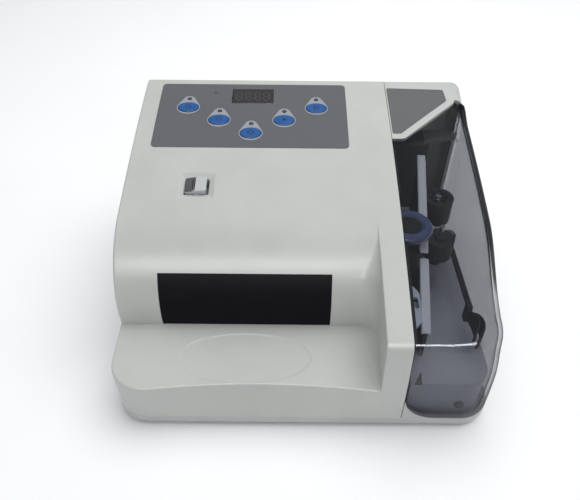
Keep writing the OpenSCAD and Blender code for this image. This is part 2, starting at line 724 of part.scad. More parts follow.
// Two leaf blades, curved in plan, at the front end of the arm's rod
module leaf(c, r, a0, a1, z0, z1) translate([c[0], c[1], z0]) rotate([0, 0, a0])
    rotate_extrude(angle = a1 - a0, $fn = 96) translate([r - 0.9, 0]) square([0.9, z1 - z0]);
module pusher_fingers() color([0.10, 0.10, 0.11]) on_frame() {
    box([101.4, 104.6], [47, 52], [46, 59.4]);
    leaf([92, 38], 14.5, -42, 42, 45, 60);
    leaf([91, 38], 19, -48, 30, 45, 57);
    box([101.4, 108], [47.6, 48.6], [46, 57]);
}

module arm_pin() color([0.75, 0.76, 0.77]) on_frame() {
    post(arm_at, 2, 30, 64);
    post(arm_at, 3, 62.3, 64);
}

// Torsion spring round the arm's pin: a wire swept along a helix
wire_r = 0.5;
coil_r = 3.4;
coil_turns = 5;
coil_steps = 12;
coil_sides = 6;
function coil_ring(i) = let (a = 360 * i / coil_steps, z = 41 + i * 1.9 / coil_steps)
    [for (k = [0:coil_sides - 1]) let (b = 360 * k / coil_sides, r = coil_r + wire_r * cos(b))
        [arm_at[0] + r * cos(a), arm_at[1] + r * sin(a), z + wire_r * sin(b)]];
module arm_spring() color([0.68, 0.69, 0.70]) on_frame() {
    n = coil_turns * coil_steps;
    m = coil_sides;
    polyhedron(
        points = [for (i = [0:n]) each coil_ring(i)],
        faces = concat(
            [[for (k = [0:m - 1]) k]],
            [[for (k = [m - 1:-1:0]) n * m + k]],
            [for (i = [0:n - 1], k = [0:m - 1])
                [i * m + k, (i + 1) * m + k, (i + 1) * m + (k + 1) % m, i * m + (k + 1) % m]]
        )
    );
}

module pinch_axle() color([0.75, 0.76, 0.77]) on_frame() post(pinch_at, 1.5, arm_z[0], 86);
module pinch_wheel() color([0.13, 0.13, 0.14]) on_frame() difference() {
    union() {
        post(pinch_at, pinch_r, 62, 76);
        post(pinch_at, 4, 60, 78);
    }
    post(pinch_at, 1.5 + fit, 0, far);
}

// ---------- door ----------

door_bottom = seam_h + 0.8;
lug_r = 4.4;
bracket_z = [95, 100];

module door_plan(inset) polygon(concat(
    [[fin_right + door_gap - inset, -20], [70, -20]],
    arc([side_x - plan_front_r, plan_front_r], plan_front_r - inset, 270, 360, 10),
    [[side_x - inset, hinge_d]],
    inset > 0 ? [[side_x - inset, far], [0, far]] :
        concat(arc([hinge_x, hinge_d], lug_r, 0, 168, 12), [[69.3, 151.15], [fin_right + door_gap, 150.9]])
));

// Flat facet across the door's front top corner, at a distance inside the outer one
module corner_facet(inset) translate([side_x, 20, 54]) rotate([0, -29.4, -34.9])
    translate([-inset, -100, -100]) cube([60, 200, 200]);

module door_solid(inset, x0) difference() {
    intersection() {
        along_x(x0, side_x + 1) fin_outline(inset, door_bottom - inset * 2);
        linear_extrude(far) door_plan(inset);
    }
    corner_facet(inset);
    if (inset > 0) for (d = [50, 112, 174]) on_crown(side_x - inset, d)
        translate([0, 0, -inset - 4]) rotate([0, 45, 0]) translate([-20, -33, 0]) cube([40, 66, 30]);
}

// The door's front wall ends in a round corner above the base's web
module door_corner_cut() difference() {
    box([0, web_c[0]], [-5, 20], [0, web_c[1]]);
    translate([web_c[0], 60, web_c[1]]) rotate([90, 0, 0]) cylinder(r = web_r, h = 80);
}

module door() color([0.42, 0.43, 0.46, 0.55]) on_frame() difference() {
    union() {
        difference() {
            door_solid(0, fin_right + door_gap);
            door_solid(wall, 0);
        }
        post([hinge_x, hinge_d], lug_r - 0.1, door_bottom, 25);
        intersection() {
            post([hinge_x, hinge_d], lug_r - 0.1, bracket_z[1] + 0.4, far);
            along_x(0, side_x) fin_outline(0.1, 0);
        }
    }
    edge_cutter(0);
    door_corner_cut();
    box([hinge_x - 5, side_x + 1], [hinge_d - 4.2, hinge_d + 6], [bracket_z[0] - 0.5, bracket_z[1] + 0.4]);
    post([hinge_x, hinge_d], hinge_pin_r + fit, 0, 23);
    post([hinge_x, hinge_d], hinge_pin_r + fit, 90, 113);
}

module hinge_bracket() color([0.10, 0.10, 0.11]) on_frame() difference() {
    union() {
        translate([0, 0, bracket_z[0]]) linear_extrude(bracket_z[1] - bracket_z[0])
            polygon([[fin_right + 3, 176], [80, 173], [hinge_x - 1, hinge_d - 3], [hinge_x - 1, hinge_d + 3],
                     [96, 190], [fin_right + 3, 190]]);
        post([hinge_x, hinge_d], 3.2, bracket_z[0], bracket_z[1]);
        box([66, 94], [176, 186], [floor_h, bracket_z[0] + 1]);
    }
    post([hinge_x, hinge_d], hinge_pin_r, 0, far);
}

module hinge_pins() color([0.75, 0.76, 0.77]) on_frame() {
    post([hinge_x, hinge_d], hinge_pin_r, base_floor, 22);
    post([hinge_x, hinge_d], hinge_pin_r, bracket_z[0], 112.4);
}

module door_magnet() color([0.45, 0.45, 0.46]) on_frame() magnet_at() cylinder(r = magnet_r, h = 5);

base_tray();
main_cover();
corner_cover();
corner_label();
front_window();
rubber_feet();
case_screws();
dc_jack();
panel_overlay();
key_surrounds();
key_1();
key_2();
key_3();
key_4();
key_5();
indicator_leds();
display_lens();
display_module();
key_board();
key_switches();
switch_frame();
rocker();
main_board();
board_parts();
ribbon_cable();
uv_lamp();
lamp_reflector();
side_frame();
channel_floor();
guide_plate();
friction_pad();
adjust_plate();
adjust_screw();
photo_sensor();
magnetic_head();
shaft_bushes();
motor();
motor_bracket();
motor_pulley();
drive_belt();
feed_belt();
count_shaft();
count_pulley();
count_roller();
hand_knob();
knob_cap();
feed_shaft();
feed_pulley();
feed_hub();
feed_tyre();
pressing_arm();
pusher_fingers();
arm_pin();
arm_spring();
pinch_axle();
pinch_wheel();
door();
hinge_bracket();
hinge_pins();
door_magnet();
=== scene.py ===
"""Visual model of the banknote counting machine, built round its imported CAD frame.

Lengths are given in millimetres and turned into metres by MM. "Depth" is the distance
behind the case's front edge, as in the CAD source: at() turns (x, depth, z) into the frame.
"""
import json
import math

import bmesh
import bpy
from mathutils import Matrix, Vector


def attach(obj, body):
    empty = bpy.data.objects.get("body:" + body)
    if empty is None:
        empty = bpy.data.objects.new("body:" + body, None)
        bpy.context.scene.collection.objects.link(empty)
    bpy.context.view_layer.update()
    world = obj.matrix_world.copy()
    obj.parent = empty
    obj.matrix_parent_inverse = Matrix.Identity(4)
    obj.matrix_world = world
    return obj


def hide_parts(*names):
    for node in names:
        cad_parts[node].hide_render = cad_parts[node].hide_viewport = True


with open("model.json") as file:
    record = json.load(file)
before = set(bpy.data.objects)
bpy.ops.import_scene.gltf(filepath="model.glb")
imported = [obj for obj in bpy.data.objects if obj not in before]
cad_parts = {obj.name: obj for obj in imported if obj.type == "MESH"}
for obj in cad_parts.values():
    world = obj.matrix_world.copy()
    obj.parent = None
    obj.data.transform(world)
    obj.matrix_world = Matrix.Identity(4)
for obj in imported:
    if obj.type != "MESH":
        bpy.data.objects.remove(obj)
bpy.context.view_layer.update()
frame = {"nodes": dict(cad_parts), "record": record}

MM = 0.001

# The case's long curves, as in the CAD source
BODY_W = 235.0
BODY_D = 214.0
FOOT_H = 3.0
SEAM_H = 9.5
WALL = 2.5
SIDE_X = BODY_W / 2
CROWN_R = 1157.0
CROWN_TILT = math.radians(15.65)
CROWN_C = (100 + CROWN_R * math.sin(CROWN_TILT), 102.6 - CROWN_R * math.cos(CROWN_TILT))
NOSE_R = 54.0
NOSE_C = (100.9, CROWN_C[1] + math.sqrt((CROWN_R - NOSE_R) ** 2 - (CROWN_C[0] - 100.9) ** 2))
FRONT_R = 376.0
FRONT_C = (FRONT_R, FOOT_H)


# ---------- places ----------

def at(x, d, z):
    """A point of the frame in metres, from x, depth behind the front edge and height in mm."""
    return Vector((x * MM, (d - BODY_D / 2) * MM, z * MM))


def crown_z(d, inset=0.0):
    """Height of the crown's curve at a depth, or of a surface lying an inset below it."""
    return CROWN_C[1] + math.sqrt((CROWN_R - inset) ** 2 - (d - CROWN_C[0]) ** 2)


def crown_slope(d):
    return math.asin((CROWN_C[0] - d) / CROWN_R)


def on_crown(x, d, lift=0.0):
    """Matrix that stands on the crown at (x, d), with its Z along the crown's normal."""
    return (Matrix.Translation(at(x, d, crown_z(d))) @ Matrix.Rotation(crown_slope(d), 4, "X")
            @ Matrix.Translation((0, 0, lift * MM)))


# ---------- material nodes ----------

def new_material(name):
    m = bpy.data.materials.new(name)
    m.use_nodes = True
    nt = m.node_tree
    nt.nodes.clear()
    out = nt.nodes.new("ShaderNodeOutputMaterial")
    shader = nt.nodes.new("ShaderNodeBsdfPrincipled")
    nt.links.new(shader.outputs[0], out.inputs[0])
    return m, nt, shader, out


def srgb(r, g, b):
    """Linear colour of an 8-bit display colour."""
    return tuple(((c / 255) / 12.92 if c / 255 <= 0.04045 else ((c / 255 + 0.055) / 1.055) ** 2.4)
                 for c in (r, g, b)) + (1.0,)


def coords(nt, stretch=(1, 1, 1)):
    """Object coordinates, stretched along the axes."""
    tc = nt.nodes.new("ShaderNodeTexCoord")
    mp = nt.nodes.new("ShaderNodeMapping")
    mp.inputs["Scale"].default_value = stretch
    nt.links.new(tc.outputs["Object"], mp.inputs["Vector"])
    return mp.outputs["Vector"]


def noise(nt, vec, size_mm, detail=3.0, rough=0.55):
    """Noise with features of about size_mm."""
    n = nt.nodes.new("ShaderNodeTexNoise")
    n.inputs["Scale"].default_value = 1000.0 / size_mm
    n.inputs["Detail"].default_value = detail
    n.inputs["Roughness"].default_value = rough
    nt.links.new(vec, n.inputs["Vector"])
    return n.outputs["Fac"]


def ramp(nt, fac, stops):
    """Colour ramp with (position, colour) stops."""
    r = nt.nodes.new("ShaderNodeValToRGB")
    e = r.color_ramp.elements
    e[0].position, e[0].color = stops[0]
    e[1].position, e[1].color = stops[-1]
    for p, c in stops[1:-1]:
        e.new(p).color = c
    nt.links.new(fac, r.inputs["Fac"])
    return r.outputs["Color"]


def ranged(nt, fac, start, end, low=0.0, high=1.0):
    """A value mapped from start..end to low..high."""
    m = nt.nodes.new("ShaderNodeMapRange")
    for key, v in (("From Min", start), ("From Max", end), ("To Min", low), ("To Max", high)):
        m.inputs[key].default_value = v
    nt.links.new(fac, m.inputs["Value"])
    return m.outputs["Result"]


def spread(nt, fac, low, high):
    """A texture's middle range mapped to low..high."""
    return ranged(nt, fac, 0.3, 0.7, low, high)


def combine(nt, operation, a, b):
    """Two values put together by a Math operation."""
    m = nt.nodes.new("ShaderNodeMath")
    m.operation = operation
    nt.links.new(a, m.inputs[0])
    nt.links.new(b, m.inputs[1])
    return m.outputs[0]


def bump(nt, shader, height, strength, distance_mm, below=None):
    b = nt.nodes.new("ShaderNodeBump")
    b.inputs["Strength"].default_value = strength
    b.inputs["Distance"].default_value = distance_mm * MM
    nt.links.new(height, b.inputs["Height"])
    if below:
        nt.links.new(below, b.inputs["Normal"])
    nt.links.new(b.outputs["Normal"], shader.inputs["Normal"])
    return b.outputs["Normal"]


def shade(colour, k):
    return tuple(min(1.0, c * k) for c in colour[:3]) + (1.0,)


def moulded(name, colour, rough=0.42, grain=0.55, depth=0.25, vary=0.03, cloud=28.0, coat=0.0,
            shine=0.5):
    """Moulded plastic: spark-eroded grain, faint clouding and a roughness that wanders."""
    m, nt, sh, _ = new_material(name)
    vec = coords(nt)
    big = noise(nt, vec, cloud, 2.0)
    fine = noise(nt, vec, grain, 2.0, 0.6)
    tint = ramp(nt, big, [(0.3, shade(colour, 1 - vary)), (0.7, shade(colour, 1 + vary))])
    nt.links.new(tint, sh.inputs["Base Color"])
    nt.links.new(spread(nt, big, rough - 0.04, rough + 0.05), sh.inputs["Roughness"])
    low = bump(nt, sh, big, 0.05, 0.4)
    bump(nt, sh, fine, depth, 0.05, low)
    sh.inputs["Specular IOR Level"].default_value = shine
    sh.inputs["Coat Weight"].default_value = coat
    sh.inputs["Coat Roughness"].default_value = 0.12
    return m


# Clear plastic's share of mirror gloss, and what is left of its tint, from face on to edge on
GLOSS_BY_FACING = ((0.0, 0.022), (0.45, 0.03), (0.75, 0.06), (1.0, 0.10))
TINT_BY_FACING = ((0.0, 1.0), (0.6, 0.93), (0.78, 0.7))
DEEP_AT = 0.93
GLOSS_COLOUR = (0.93, 0.95, 1.0, 1)
# Painted shade: the dark line along the door's upper right edge, standing in for the wall seen edge on, in
# mm: where it fades in along X and depth, and how far below the crown it reaches at two depths
BAND_FROM_X = (111.8, 112.8)
BAND_FROM_D = (40.0, 52.0)
BAND_DEPTH = ((50.0, 15.0), (98.0, 6.5))
BAND_FADE = 1.0
BAND_REACH = 30.0
PAINTED_EDGE_DARK = (0.045, 0.045, 0.048, 1)


def painted_edge_shade(nt):
    """0 to 1 over the painted shade line that follows the door's upper right edge, from object coordinates.
    """
    tc = nt.nodes.new("ShaderNodeTexCoord")
    split = nt.nodes.new("ShaderNodeSeparateXYZ")
    nt.links.new(tc.outputs["Object"], split.inputs[0])
    mp = nt.nodes.new("ShaderNodeMapping")
    mp.inputs["Location"].default_value = (0, (BODY_D / 2 - CROWN_C[0]) * MM, -CROWN_C[1] * MM)
    mp.inputs["Scale"].default_value = (0, 1, 1)
    nt.links.new(tc.outputs["Object"], mp.inputs["Vector"])
    far = nt.nodes.new("ShaderNodeVectorMath")
    far.operation = "LENGTH"
    nt.links.new(mp.outputs[0], far.inputs[0])
    below = ranged(nt, far.outputs["Value"], (CROWN_R - BAND_REACH) * MM, CROWN_R * MM, BAND_REACH, 0.0)
    (d0, deep0), (d1, deep1) = BAND_DEPTH
    limit = ranged(nt, split.outputs[1], (d0 - BODY_D / 2) * MM, (d1 - BODY_D / 2) * MM, deep0, deep1)
    left = combine(nt, "SUBTRACT", limit, below)
    near = ranged(nt, left, 0.0, BAND_FADE)
    side = ranged(nt, split.outputs[0], BAND_FROM_X[0] * MM, BAND_FROM_X[1] * MM)
    front = ranged(nt, split.outputs[1], *[(d - BODY_D / 2) * MM for d in BAND_FROM_D])
    return combine(nt, "MULTIPLY", combine(nt, "MULTIPLY", near, side), front)


def smoky(name, tint, deep, rough=0.04):
    """Clear tinted plastic: see-through face on, darker and shinier where it is seen edge on, with a painted
    shade line along the door's upper right edge.
    """
    m, nt, sh, out = new_material(name)
    sh.inputs["Base Color"].default_value = GLOSS_COLOUR
    sh.inputs["Metallic"].default_value = 1.0
    look = nt.nodes.new("ShaderNodeLayerWeight")
    look.inputs["Blend"].default_value = 0.5
    vec = coords(nt)
    haze = noise(nt, vec, 26.0, 2.0)
    nt.links.new(spread(nt, haze, rough - 0.01, rough + 0.04), sh.inputs["Roughness"])
    clear = nt.nodes.new("ShaderNodeBsdfTransparent")
    depth = [(p, shade(tint, k)) for p, k in TINT_BY_FACING] + [(DEEP_AT, deep)]
    both = nt.nodes.new("ShaderNodeMixRGB")
    both.blend_type = "MULTIPLY"
    both.inputs["Fac"].default_value = 1.0
    nt.links.new(ramp(nt, look.outputs["Facing"], depth), both.inputs[1])
    # Painted shade: the see-through colour is darkened by position along the door's upper right edge
    nt.links.new(ramp(nt, painted_edge_shade(nt), [(0.0, (1, 1, 1, 1)), (1.0, PAINTED_EDGE_DARK)]), both.inputs[2])
    nt.links.new(both.outputs[0], clear.inputs["Color"])
    gloss = ramp(nt, look.outputs["Facing"], [(p, (g, g, g, 1)) for p, g in GLOSS_BY_FACING])
    mixed = nt.nodes.new("ShaderNodeMixShader")
    nt.links.new(gloss, mixed.inputs["Fac"])
    nt.links.new(clear.outputs[0], mixed.inputs[1])
    nt.links.new(sh.outputs[0], mixed.inputs[2])
    nt.links.new(mixed.outputs[0], out.inputs[0])
    bump(nt, sh, noise(nt, vec, 14.0, 1.0), 0.04, 0.3)
    return m


def brushed(name, colour, rough=0.32, line=0.12, stretch=(1, 1, 0.06)):
    """Turned or rolled steel: fine lines along one way, with duller patches."""
    m, nt, sh, _ = new_material(name)
    lines = noise(nt, coords(nt, stretch), line, 2.0)
    patch = noise(nt, coords(nt), 9.0, 3.0)
    nt.links.new(ramp(nt, patch, [(0.3, shade(colour, 0.86)), (0.7, shade(colour, 1.08))]),
                 sh.inputs["Base Color"])
    sh.inputs["Metallic"].default_value = 1.0
    nt.links.new(spread(nt, patch, rough - 0.08, rough + 0.12), sh.inputs["Roughness"])
    bump(nt, sh, lines, 0.25, 0.02)
    return m


def rubber(name, colour, rough=0.72, grain=0.35):
    """Moulded rubber: matt, with a fine pitted skin and a little pale dust."""
    m, nt, sh, _ = new_material(name)
    vec = coords(nt)
    dust = noise(nt, vec, 5.0, 5.0, 0.7)
    nt.links.new(ramp(nt, dust, [(0.35, colour), (0.8, shade(colour, 1.9))]), sh.inputs["Base Color"])
    nt.links.new(spread(nt, dust, rough - 0.06, rough + 0.12), sh.inputs["Roughness"])
    sh.inputs["Specular IOR Level"].default_value = 0.3
    bump(nt, sh, noise(nt, vec, grain, 2.0), 0.35, 0.06)
    return m


def circuit(name, colour):
    """Circuit board lacquer with copper tracks showing through."""
    m, nt, sh, _ = new_material(name)
    vec = coords(nt)
    track = nt.nodes.new("ShaderNodeTexBrick")
    track.inputs["Scale"].default_value = 60.0
    track.inputs["Mortar Size"].default_value = 0.06
    track.inputs["Color1"].default_value = colour
    track.inputs["Color2"].default_value = shade(colour, 0.85)
    track.inputs["Mortar"].default_value = shade(colour, 1.6)
    nt.links.new(vec, track.inputs["Vector"])
    nt.links.new(track.outputs["Color"], sh.inputs["Base Color"])
    sh.inputs["Roughness"].default_value = 0.3
    bump(nt, sh, track.outputs["Fac"], 0.2, 0.05)
    return m


# ---------- mesh tools ----------

def piece(name, bm):
    """A new object from a bmesh, which is freed."""
    mesh = bpy.data.meshes.new(name)
    bm.normal_update()
    bm.to_mesh(mesh)
    bm.free()
    obj = bpy.data.objects.new(name, mesh)
    bpy.context.scene.collection.objects.link(obj)
    return obj


def smooth(obj, angle):
    obj.data.shade_smooth()
    obj.data.set_sharp_from_angle(angle=math.radians(angle))


def bake(obj):
    """Applies the object's modifiers to its mesh."""
    bpy.context.view_layer.update()
    done = bpy.data.meshes.new_from_object(obj.evaluated_get(bpy.context.evaluated_depsgraph_get()))
    old, obj.data = obj.data, done
    obj.modifiers.clear()
    done.name = obj.name
    bpy.data.meshes.remove(old)
    return obj


def carve(obj, cutter, operation="DIFFERENCE"):
    """One exact boolean, applied; the cutter goes."""
    mod = obj.modifiers.new("carve", "BOOLEAN")
    mod.operation, mod.object, mod.solver = operation, cutter, "EXACT"
    bake(obj)
    discard(cutter)
    return obj


def thicken(obj, wall_mm, even=True):
    """Gives an outer skin its wall, inwards."""
    mod = obj.modifiers.new("wall", "SOLIDIFY")
    mod.thickness, mod.offset = wall_mm * MM, -1.0
    mod.use_even_offset, mod.use_quality_normals = even, True
    return bake(obj)


def block(name, low, high):
    """Box between two (x, depth, z) corners, for cutting with."""
    bm = bmesh.new()
    bmesh.ops.create_cube(bm, size=1.0)
    a, b = at(*low), at(*high)
    for v in bm.verts:
        v.co = Vector([mix(a[i], b[i], v.co[i] + 0.5) for i in range(3)])
    return piece(name, bm)


def grid_faces(bm, rows):
    """Quads over a grid of vertices."""
    for a, b in zip(rows, rows[1:]):
        for i in range(len(a) - 1):
            corners = [a[i], a[i + 1], b[i + 1], b[i]]
            if len(set(corners)) == 4:
                bm.faces.new(corners)


def ease(t):
    t = min(1.0, max(0.0, t))
    return t * t * (3 - 2 * t)


def mix(a, b, t):
    return a + (b - a) * t


def discard(obj):
    data = obj.data
    bpy.data.objects.remove(obj)
    bpy.data.meshes.remove(data)


def join(name, parts):
    """Several closed solids as one piece."""
    bm = bmesh.new()
    for p in parts:
        bm.from_mesh(p.data)
        discard(p)
    return piece(name, bm)


def settle(obj, body, slot, nodes=(), angle=35, even=False):
    """Shades a piece, gives it its slot's finish and lets it ride its body."""
    smooth(obj, angle)
    if even:
        obj.modifiers.new("even", "WEIGHTED_NORMAL").keep_sharp = True
    obj.data.materials.clear()
    obj.data.materials.append(MATERIALS[slot])
    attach(obj, body)
    if nodes:
        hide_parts(*nodes)
    return obj


# ---------- shells: a wall, a rounded edge and the crown above it ----------

WIDEN_Z = (36.0, 60.0)


def front_d(z):
    """Depth of the leaning front face at a height."""
    return FRONT_R - math.sqrt(FRONT_R ** 2 - (z - FOOT_H) ** 2)


def fillet(station, steps):
    """Points of the rounded edge between a station's wall and the crown, from the wall up.

    A station is (foot, head, turn, radius, lean): the wall's plan place low down and high up,
    the turn of its outward normal from straight ahead, the edge's radius, and how much the
    wall leans back.
    """
    _, (x, d), turn, r, lean = station
    inward = (-math.sin(turn), math.cos(turn))
    ahead = math.cos(turn)
    u_crown, z_wall = r, crown_z(d) - r
    for _ in range(8):
        d_wall = d + front_d(z_wall) * lean
        tilt = (z_wall - FOOT_H) / (FRONT_R - front_d(z_wall)) * ahead * lean
        m = math.tan(crown_slope(d_wall + u_crown * ahead)) * ahead
        # where the wall's line u = tilt * (z - z_wall) meets the crown's line
        z_meet = (crown_z(d_wall + u_crown * ahead) - m * u_crown - m * tilt * z_wall) / (1 - m * tilt)
        u_meet = tilt * (z_meet - z_wall)
        wall_a, crown_a = math.atan2(1.0, tilt), math.atan2(m, 1.0)
        bend = wall_a - crown_a
        reach = r * math.tan(bend / 2)
        z_wall = z_meet - reach * math.sin(wall_a)
        u_crown = u_meet + reach * math.cos(crown_a)
        u_start = u_meet - reach * math.cos(wall_a)
    centre = (u_start + r * math.sin(wall_a), z_wall - r * math.cos(wall_a))
    out = []
    for k in range(steps + 1):
        a = wall_a + math.pi / 2 - bend * k / steps
        u, z = centre[0] + r * math.cos(a), centre[1] + r * math.sin(a)
        out.append((x + inward[0] * u, d_wall + inward[1] * u, z))
    return out


def wall_points(station, z_low, top, steps):
    """Points up a station's wall to just below its rounded edge."""
    (x0, d0), (x1, d1), _, _, lean = station
    out = []
    for k in range(steps):
        z = z_low + (top - z_low) * k / steps
        t = ease((z - WIDEN_Z[0]) / (WIDEN_Z[1] - WIDEN_Z[0]))
        out.append((mix(x0, x1, t), mix(d0, d1, t) + front_d(z) * lean, z))
    return out


def coons(front, right, left, rear):
    """Plan points of a four-sided patch from its sides: rows run front to rear."""
    n, m = len(left) - 1, len(front) - 1
    rows = []
    for j in range(n + 1):
        v = j / n
        row = []
        for i in range(m + 1):
            u = i / m
            p = [(1 - v) * front[i][c] + v * rear[i][c] + (1 - u) * left[j][c] + u * right[j][c]
                 - (1 - u) * (1 - v) * front[0][c] - u * (1 - v) * front[m][c]
                 - (1 - u) * v * rear[0][c] - u * v * rear[m][c] for c in (0, 1)]
            row.append((p[0], p[1], crown_z(p[1])))
        rows.append(row)
    return rows


def along(points, count):
    """count + 1 points evenly spread along a plan polyline, keeping its corners near."""
    lengths = [0.0]
    for a, b in zip(points, points[1:]):
        lengths.append(lengths[-1] + math.hypot(b[0] - a[0], b[1] - a[1]))
    out = []
    for k in range(count + 1):
        s = lengths[-1] * k / count
        i = max(j for j in range(len(points) - 1) if lengths[j] <= s + 1e-9)
        t = (s - lengths[i]) / (lengths[i + 1] - lengths[i])
        out.append(tuple(mix(points[i][c], points[i + 1][c], t) for c in (0, 1)))
    return out


def shell(name, stations, split, low, left_points, rear_points, wall_steps=12, edge_steps=12):
    """Outer skin of a cover: walls and rounded edge at every station, and the crown patch.

    split is the station where the patch's first side turns into its second; left_points lead
    from the first station to the patch's far corner, rear_points from there to the last one.
    """
    bm = bmesh.new()
    strips = []
    for s in stations:
        edge = fillet(s, edge_steps)
        strips.append(wall_points(s, low(s), edge[0][2], wall_steps) + edge)
    verts = [[bm.verts.new(at(*p)) for p in strip] for strip in strips]
    grid_faces(bm, verts)
    tops = [strip[-1] for strip in strips]
    front, right = tops[:split + 1], tops[split:]
    n = len(right) - 1
    left = along([front[0][:2], *left_points], n)
    rear = along([*rear_points, right[-1][:2]], split)
    patch = coons(front, right, left, rear)
    grid = []
    for j, row in enumerate(patch):
        line = []
        for i, p in enumerate(row):
            if j == 0:
                line.append(verts[i][-1])
            elif i == split:
                line.append(verts[split + j][-1])
            else:
                line.append(bm.verts.new(at(*p)))
        grid.append(line)
    grid_faces(bm, grid)
    bmesh.ops.recalc_face_normals(bm, faces=bm.faces)
    top = max(bm.faces, key=lambda f: f.calc_center_median().z)
    if top.normal.z < 0:
        bmesh.ops.reverse_faces(bm, faces=bm.faces)
    return piece(name, bm)


# ---------- door ----------

DOOR_LEFT = 60.6
DOOR_BOTTOM = 10.3
DOOR_CORNER_R = 21.0
DOOR_HEAD_R = 27.0
DOOR_EDGE_R = 7.5
DOOR_BEND_R = 9.0
DOOR_SOFT_R = 23.0
DOOR_SOFT_D = 62.0
DOOR_ARC_C = (80.6, 30.3)
DOOR_ARC_R = 20.0
DOOR_REAR = (DOOR_LEFT, 150.9)
DOOR_DIAGONAL = (69.3, 151.15)
HINGE = (113.0, 186.5)
BRACKET_ROOM = ((HINGE[0] - 5, HINGE[1] - 4.2, 94.5), (SIDE_X + 3, HINGE[1] + 8, 100.4))
LUG_TURN = math.radians(78)
LUG_R = 4.4
PIN_R = 1.5
LUG_EDGE_R = 3.5


def door_low(station):
    """Height of the door's lower rim: a quarter round at the left end of its front."""
    (x, d) = station[0]
    if d > 1.0 or x >= DOOR_ARC_C[0]:
        return DOOR_BOTTOM
    return DOOR_ARC_C[1] - math.sqrt(max(0.0, DOOR_ARC_R ** 2 - (x - DOOR_ARC_C[0]) ** 2))


def round_corner(turn, r):
    """Plan place on the front right corner at a turn, for a corner of radius r."""
    return (SIDE_X - r + r * math.sin(turn), r * (1 - math.cos(turn)))


def door_stations():
    """Stations along the front, round the corner, along the side and round the hinge."""
    out = []
    fronts, turns, sides, lugs = 18, 24, 34, 10
    for k in range(fronts + 1):
        t = k / fronts
        x0, x1 = mix(DOOR_LEFT, SIDE_X - DOOR_CORNER_R, t), mix(DOOR_LEFT, SIDE_X - DOOR_HEAD_R, t)
        r = mix(DOOR_BEND_R, DOOR_SOFT_R, 0.25 * ease((t - 0.72) / 0.28))
        out.append(((x0, 0.0), (x1, 0.0), 0.0, r, 1.0))
    for k in range(1, turns + 1):
        a = math.pi / 2 * k / turns
        r = mix(DOOR_BEND_R, DOOR_SOFT_R, mix(0.25, 1.0, ease(k / turns * 1.6)))
        out.append((round_corner(a, DOOR_CORNER_R), round_corner(a, DOOR_HEAD_R), a, r, 1.0))
    for k in range(1, sides + 1):
        t = (k / sides) ** 1.2
        d0, d1 = mix(DOOR_CORNER_R, HINGE[1], t), mix(DOOR_HEAD_R, HINGE[1], t)
        fade = ease((d1 - DOOR_HEAD_R) / DOOR_SOFT_D)
        r = mix(DOOR_SOFT_R, DOOR_EDGE_R, fade) - (DOOR_EDGE_R - LUG_EDGE_R) * ease((d1 - 168) / 18)
        out.append(((SIDE_X, d0), (SIDE_X, d1), math.pi / 2, r, 1.0 - fade))
    for k in range(1, lugs + 1):
        a = math.pi / 2 + LUG_TURN * k / lugs
        p = (HINGE[0] + LUG_R * math.sin(a), HINGE[1] - LUG_R * math.cos(a))
        out.append((p, p, a, LUG_EDGE_R, 0.0))
    return out, fronts + turns // 2


def make_door():
    """Clear door: one moulded wall round the front, the side and the hinge, with a flat top."""
    stations, split = door_stations()
    door = shell("door_shell", stations, split, door_low, (DOOR_REAR,), (DOOR_REAR, DOOR_DIAGONAL))
    thicken(door, WALL)
    carve(door, block("cut", *BRACKET_ROOM))
    settle(door, "door", "door_smoke", ("door",), 40)


# ---------- case: outlines in the depth-height plane ----------

REST_H = 36.3
REST_RISE = 0.1
REST_EDGE_R = 1.5
REST_END_D = 72.0
PLAN_FRONT_R = 21.0
PLAN_REAR_R = 6.0
REAR_R = 2.0
BEND_R = 9.0
FIN_LEFT = 45.0
FIN_RIGHT = 60.2
FIN_EDGE_R = 0.9
CAP_EDGE_R = 1.7
FIN_FILLET_R = (1.2, 13.0)
FILLET_DIP = 0.02
HAIR = 0.03
CLIP_INSET = 0.35
REAR_C = (BODY_D - REAR_R, crown_z(BODY_D - REAR_R, REAR_R))


def rest_z(d):
    return REST_H + REST_RISE * d


def arc(c, r, a0, a1, n):
    """n + 1 points of an arc, with its angles in degrees."""
    return [(c[0] + r * math.cos(math.radians(a0 + (a1 - a0) * k / n)),
             c[1] + r * math.sin(math.radians(a0 + (a1 - a0) * k / n))) for k in range(n + 1)]


def circle(c, r, n):
    return arc(c, r, 0, 360 - 360 / n, n - 1)


def rect(a0, a1, b0, b1):
    return [(a0, b0), (a1, b0), (a1, b1), (a0, b1)]


def drawn_in(outline, inset):
    """An outline for slab() that keeps one inset."""
    return lambda _, bottom: outline(inset, bottom)


def angle_of(a, b):
    return math.degrees(math.atan2(b[1] - a[1], b[0] - a[0]))


def meet(a, ra, b, rb):
    """Left meeting point of two circles."""
    ux, uz = b[0] - a[0], b[1] - a[1]
    l = math.hypot(ux, uz)
    x = (l * l + ra * ra - rb * rb) / (2 * l)
    h = math.sqrt(ra * ra - x * x)
    return (a[0] + x * ux / l - h * uz / l, a[1] + x * uz / l + h * ux / l)


BEND_C = meet(CROWN_C, CROWN_R - BEND_R, FRONT_C, FRONT_R - BEND_R)


def rear_edge(inset, steps=5):
    """Points over the rounded rear edge, and the crown's angle where they end."""
    if inset < REAR_R - 0.2:
        a = angle_of(CROWN_C, REAR_C)
        return arc(REAR_C, REAR_R - inset, 0, a, steps), a
    p = (BODY_D - inset, crown_z(BODY_D - inset, inset))
    return [p], angle_of(CROWN_C, p)


def body_outline(inset, bottom):
    """Nose, crown and rear wall: closed at a depth inside the hand rest."""
    rear, rear_a = rear_edge(inset)
    return ([(REST_END_D, bottom), (BODY_D - inset, bottom)] + rear
            + arc(CROWN_C, CROWN_R - inset, rear_a, angle_of(CROWN_C, NOSE_C), 40)[1:]
            + arc(NOSE_C, NOSE_R - inset, angle_of(CROWN_C, NOSE_C), 200, 64)[1:] 
            + [(REST_END_D, 25)])


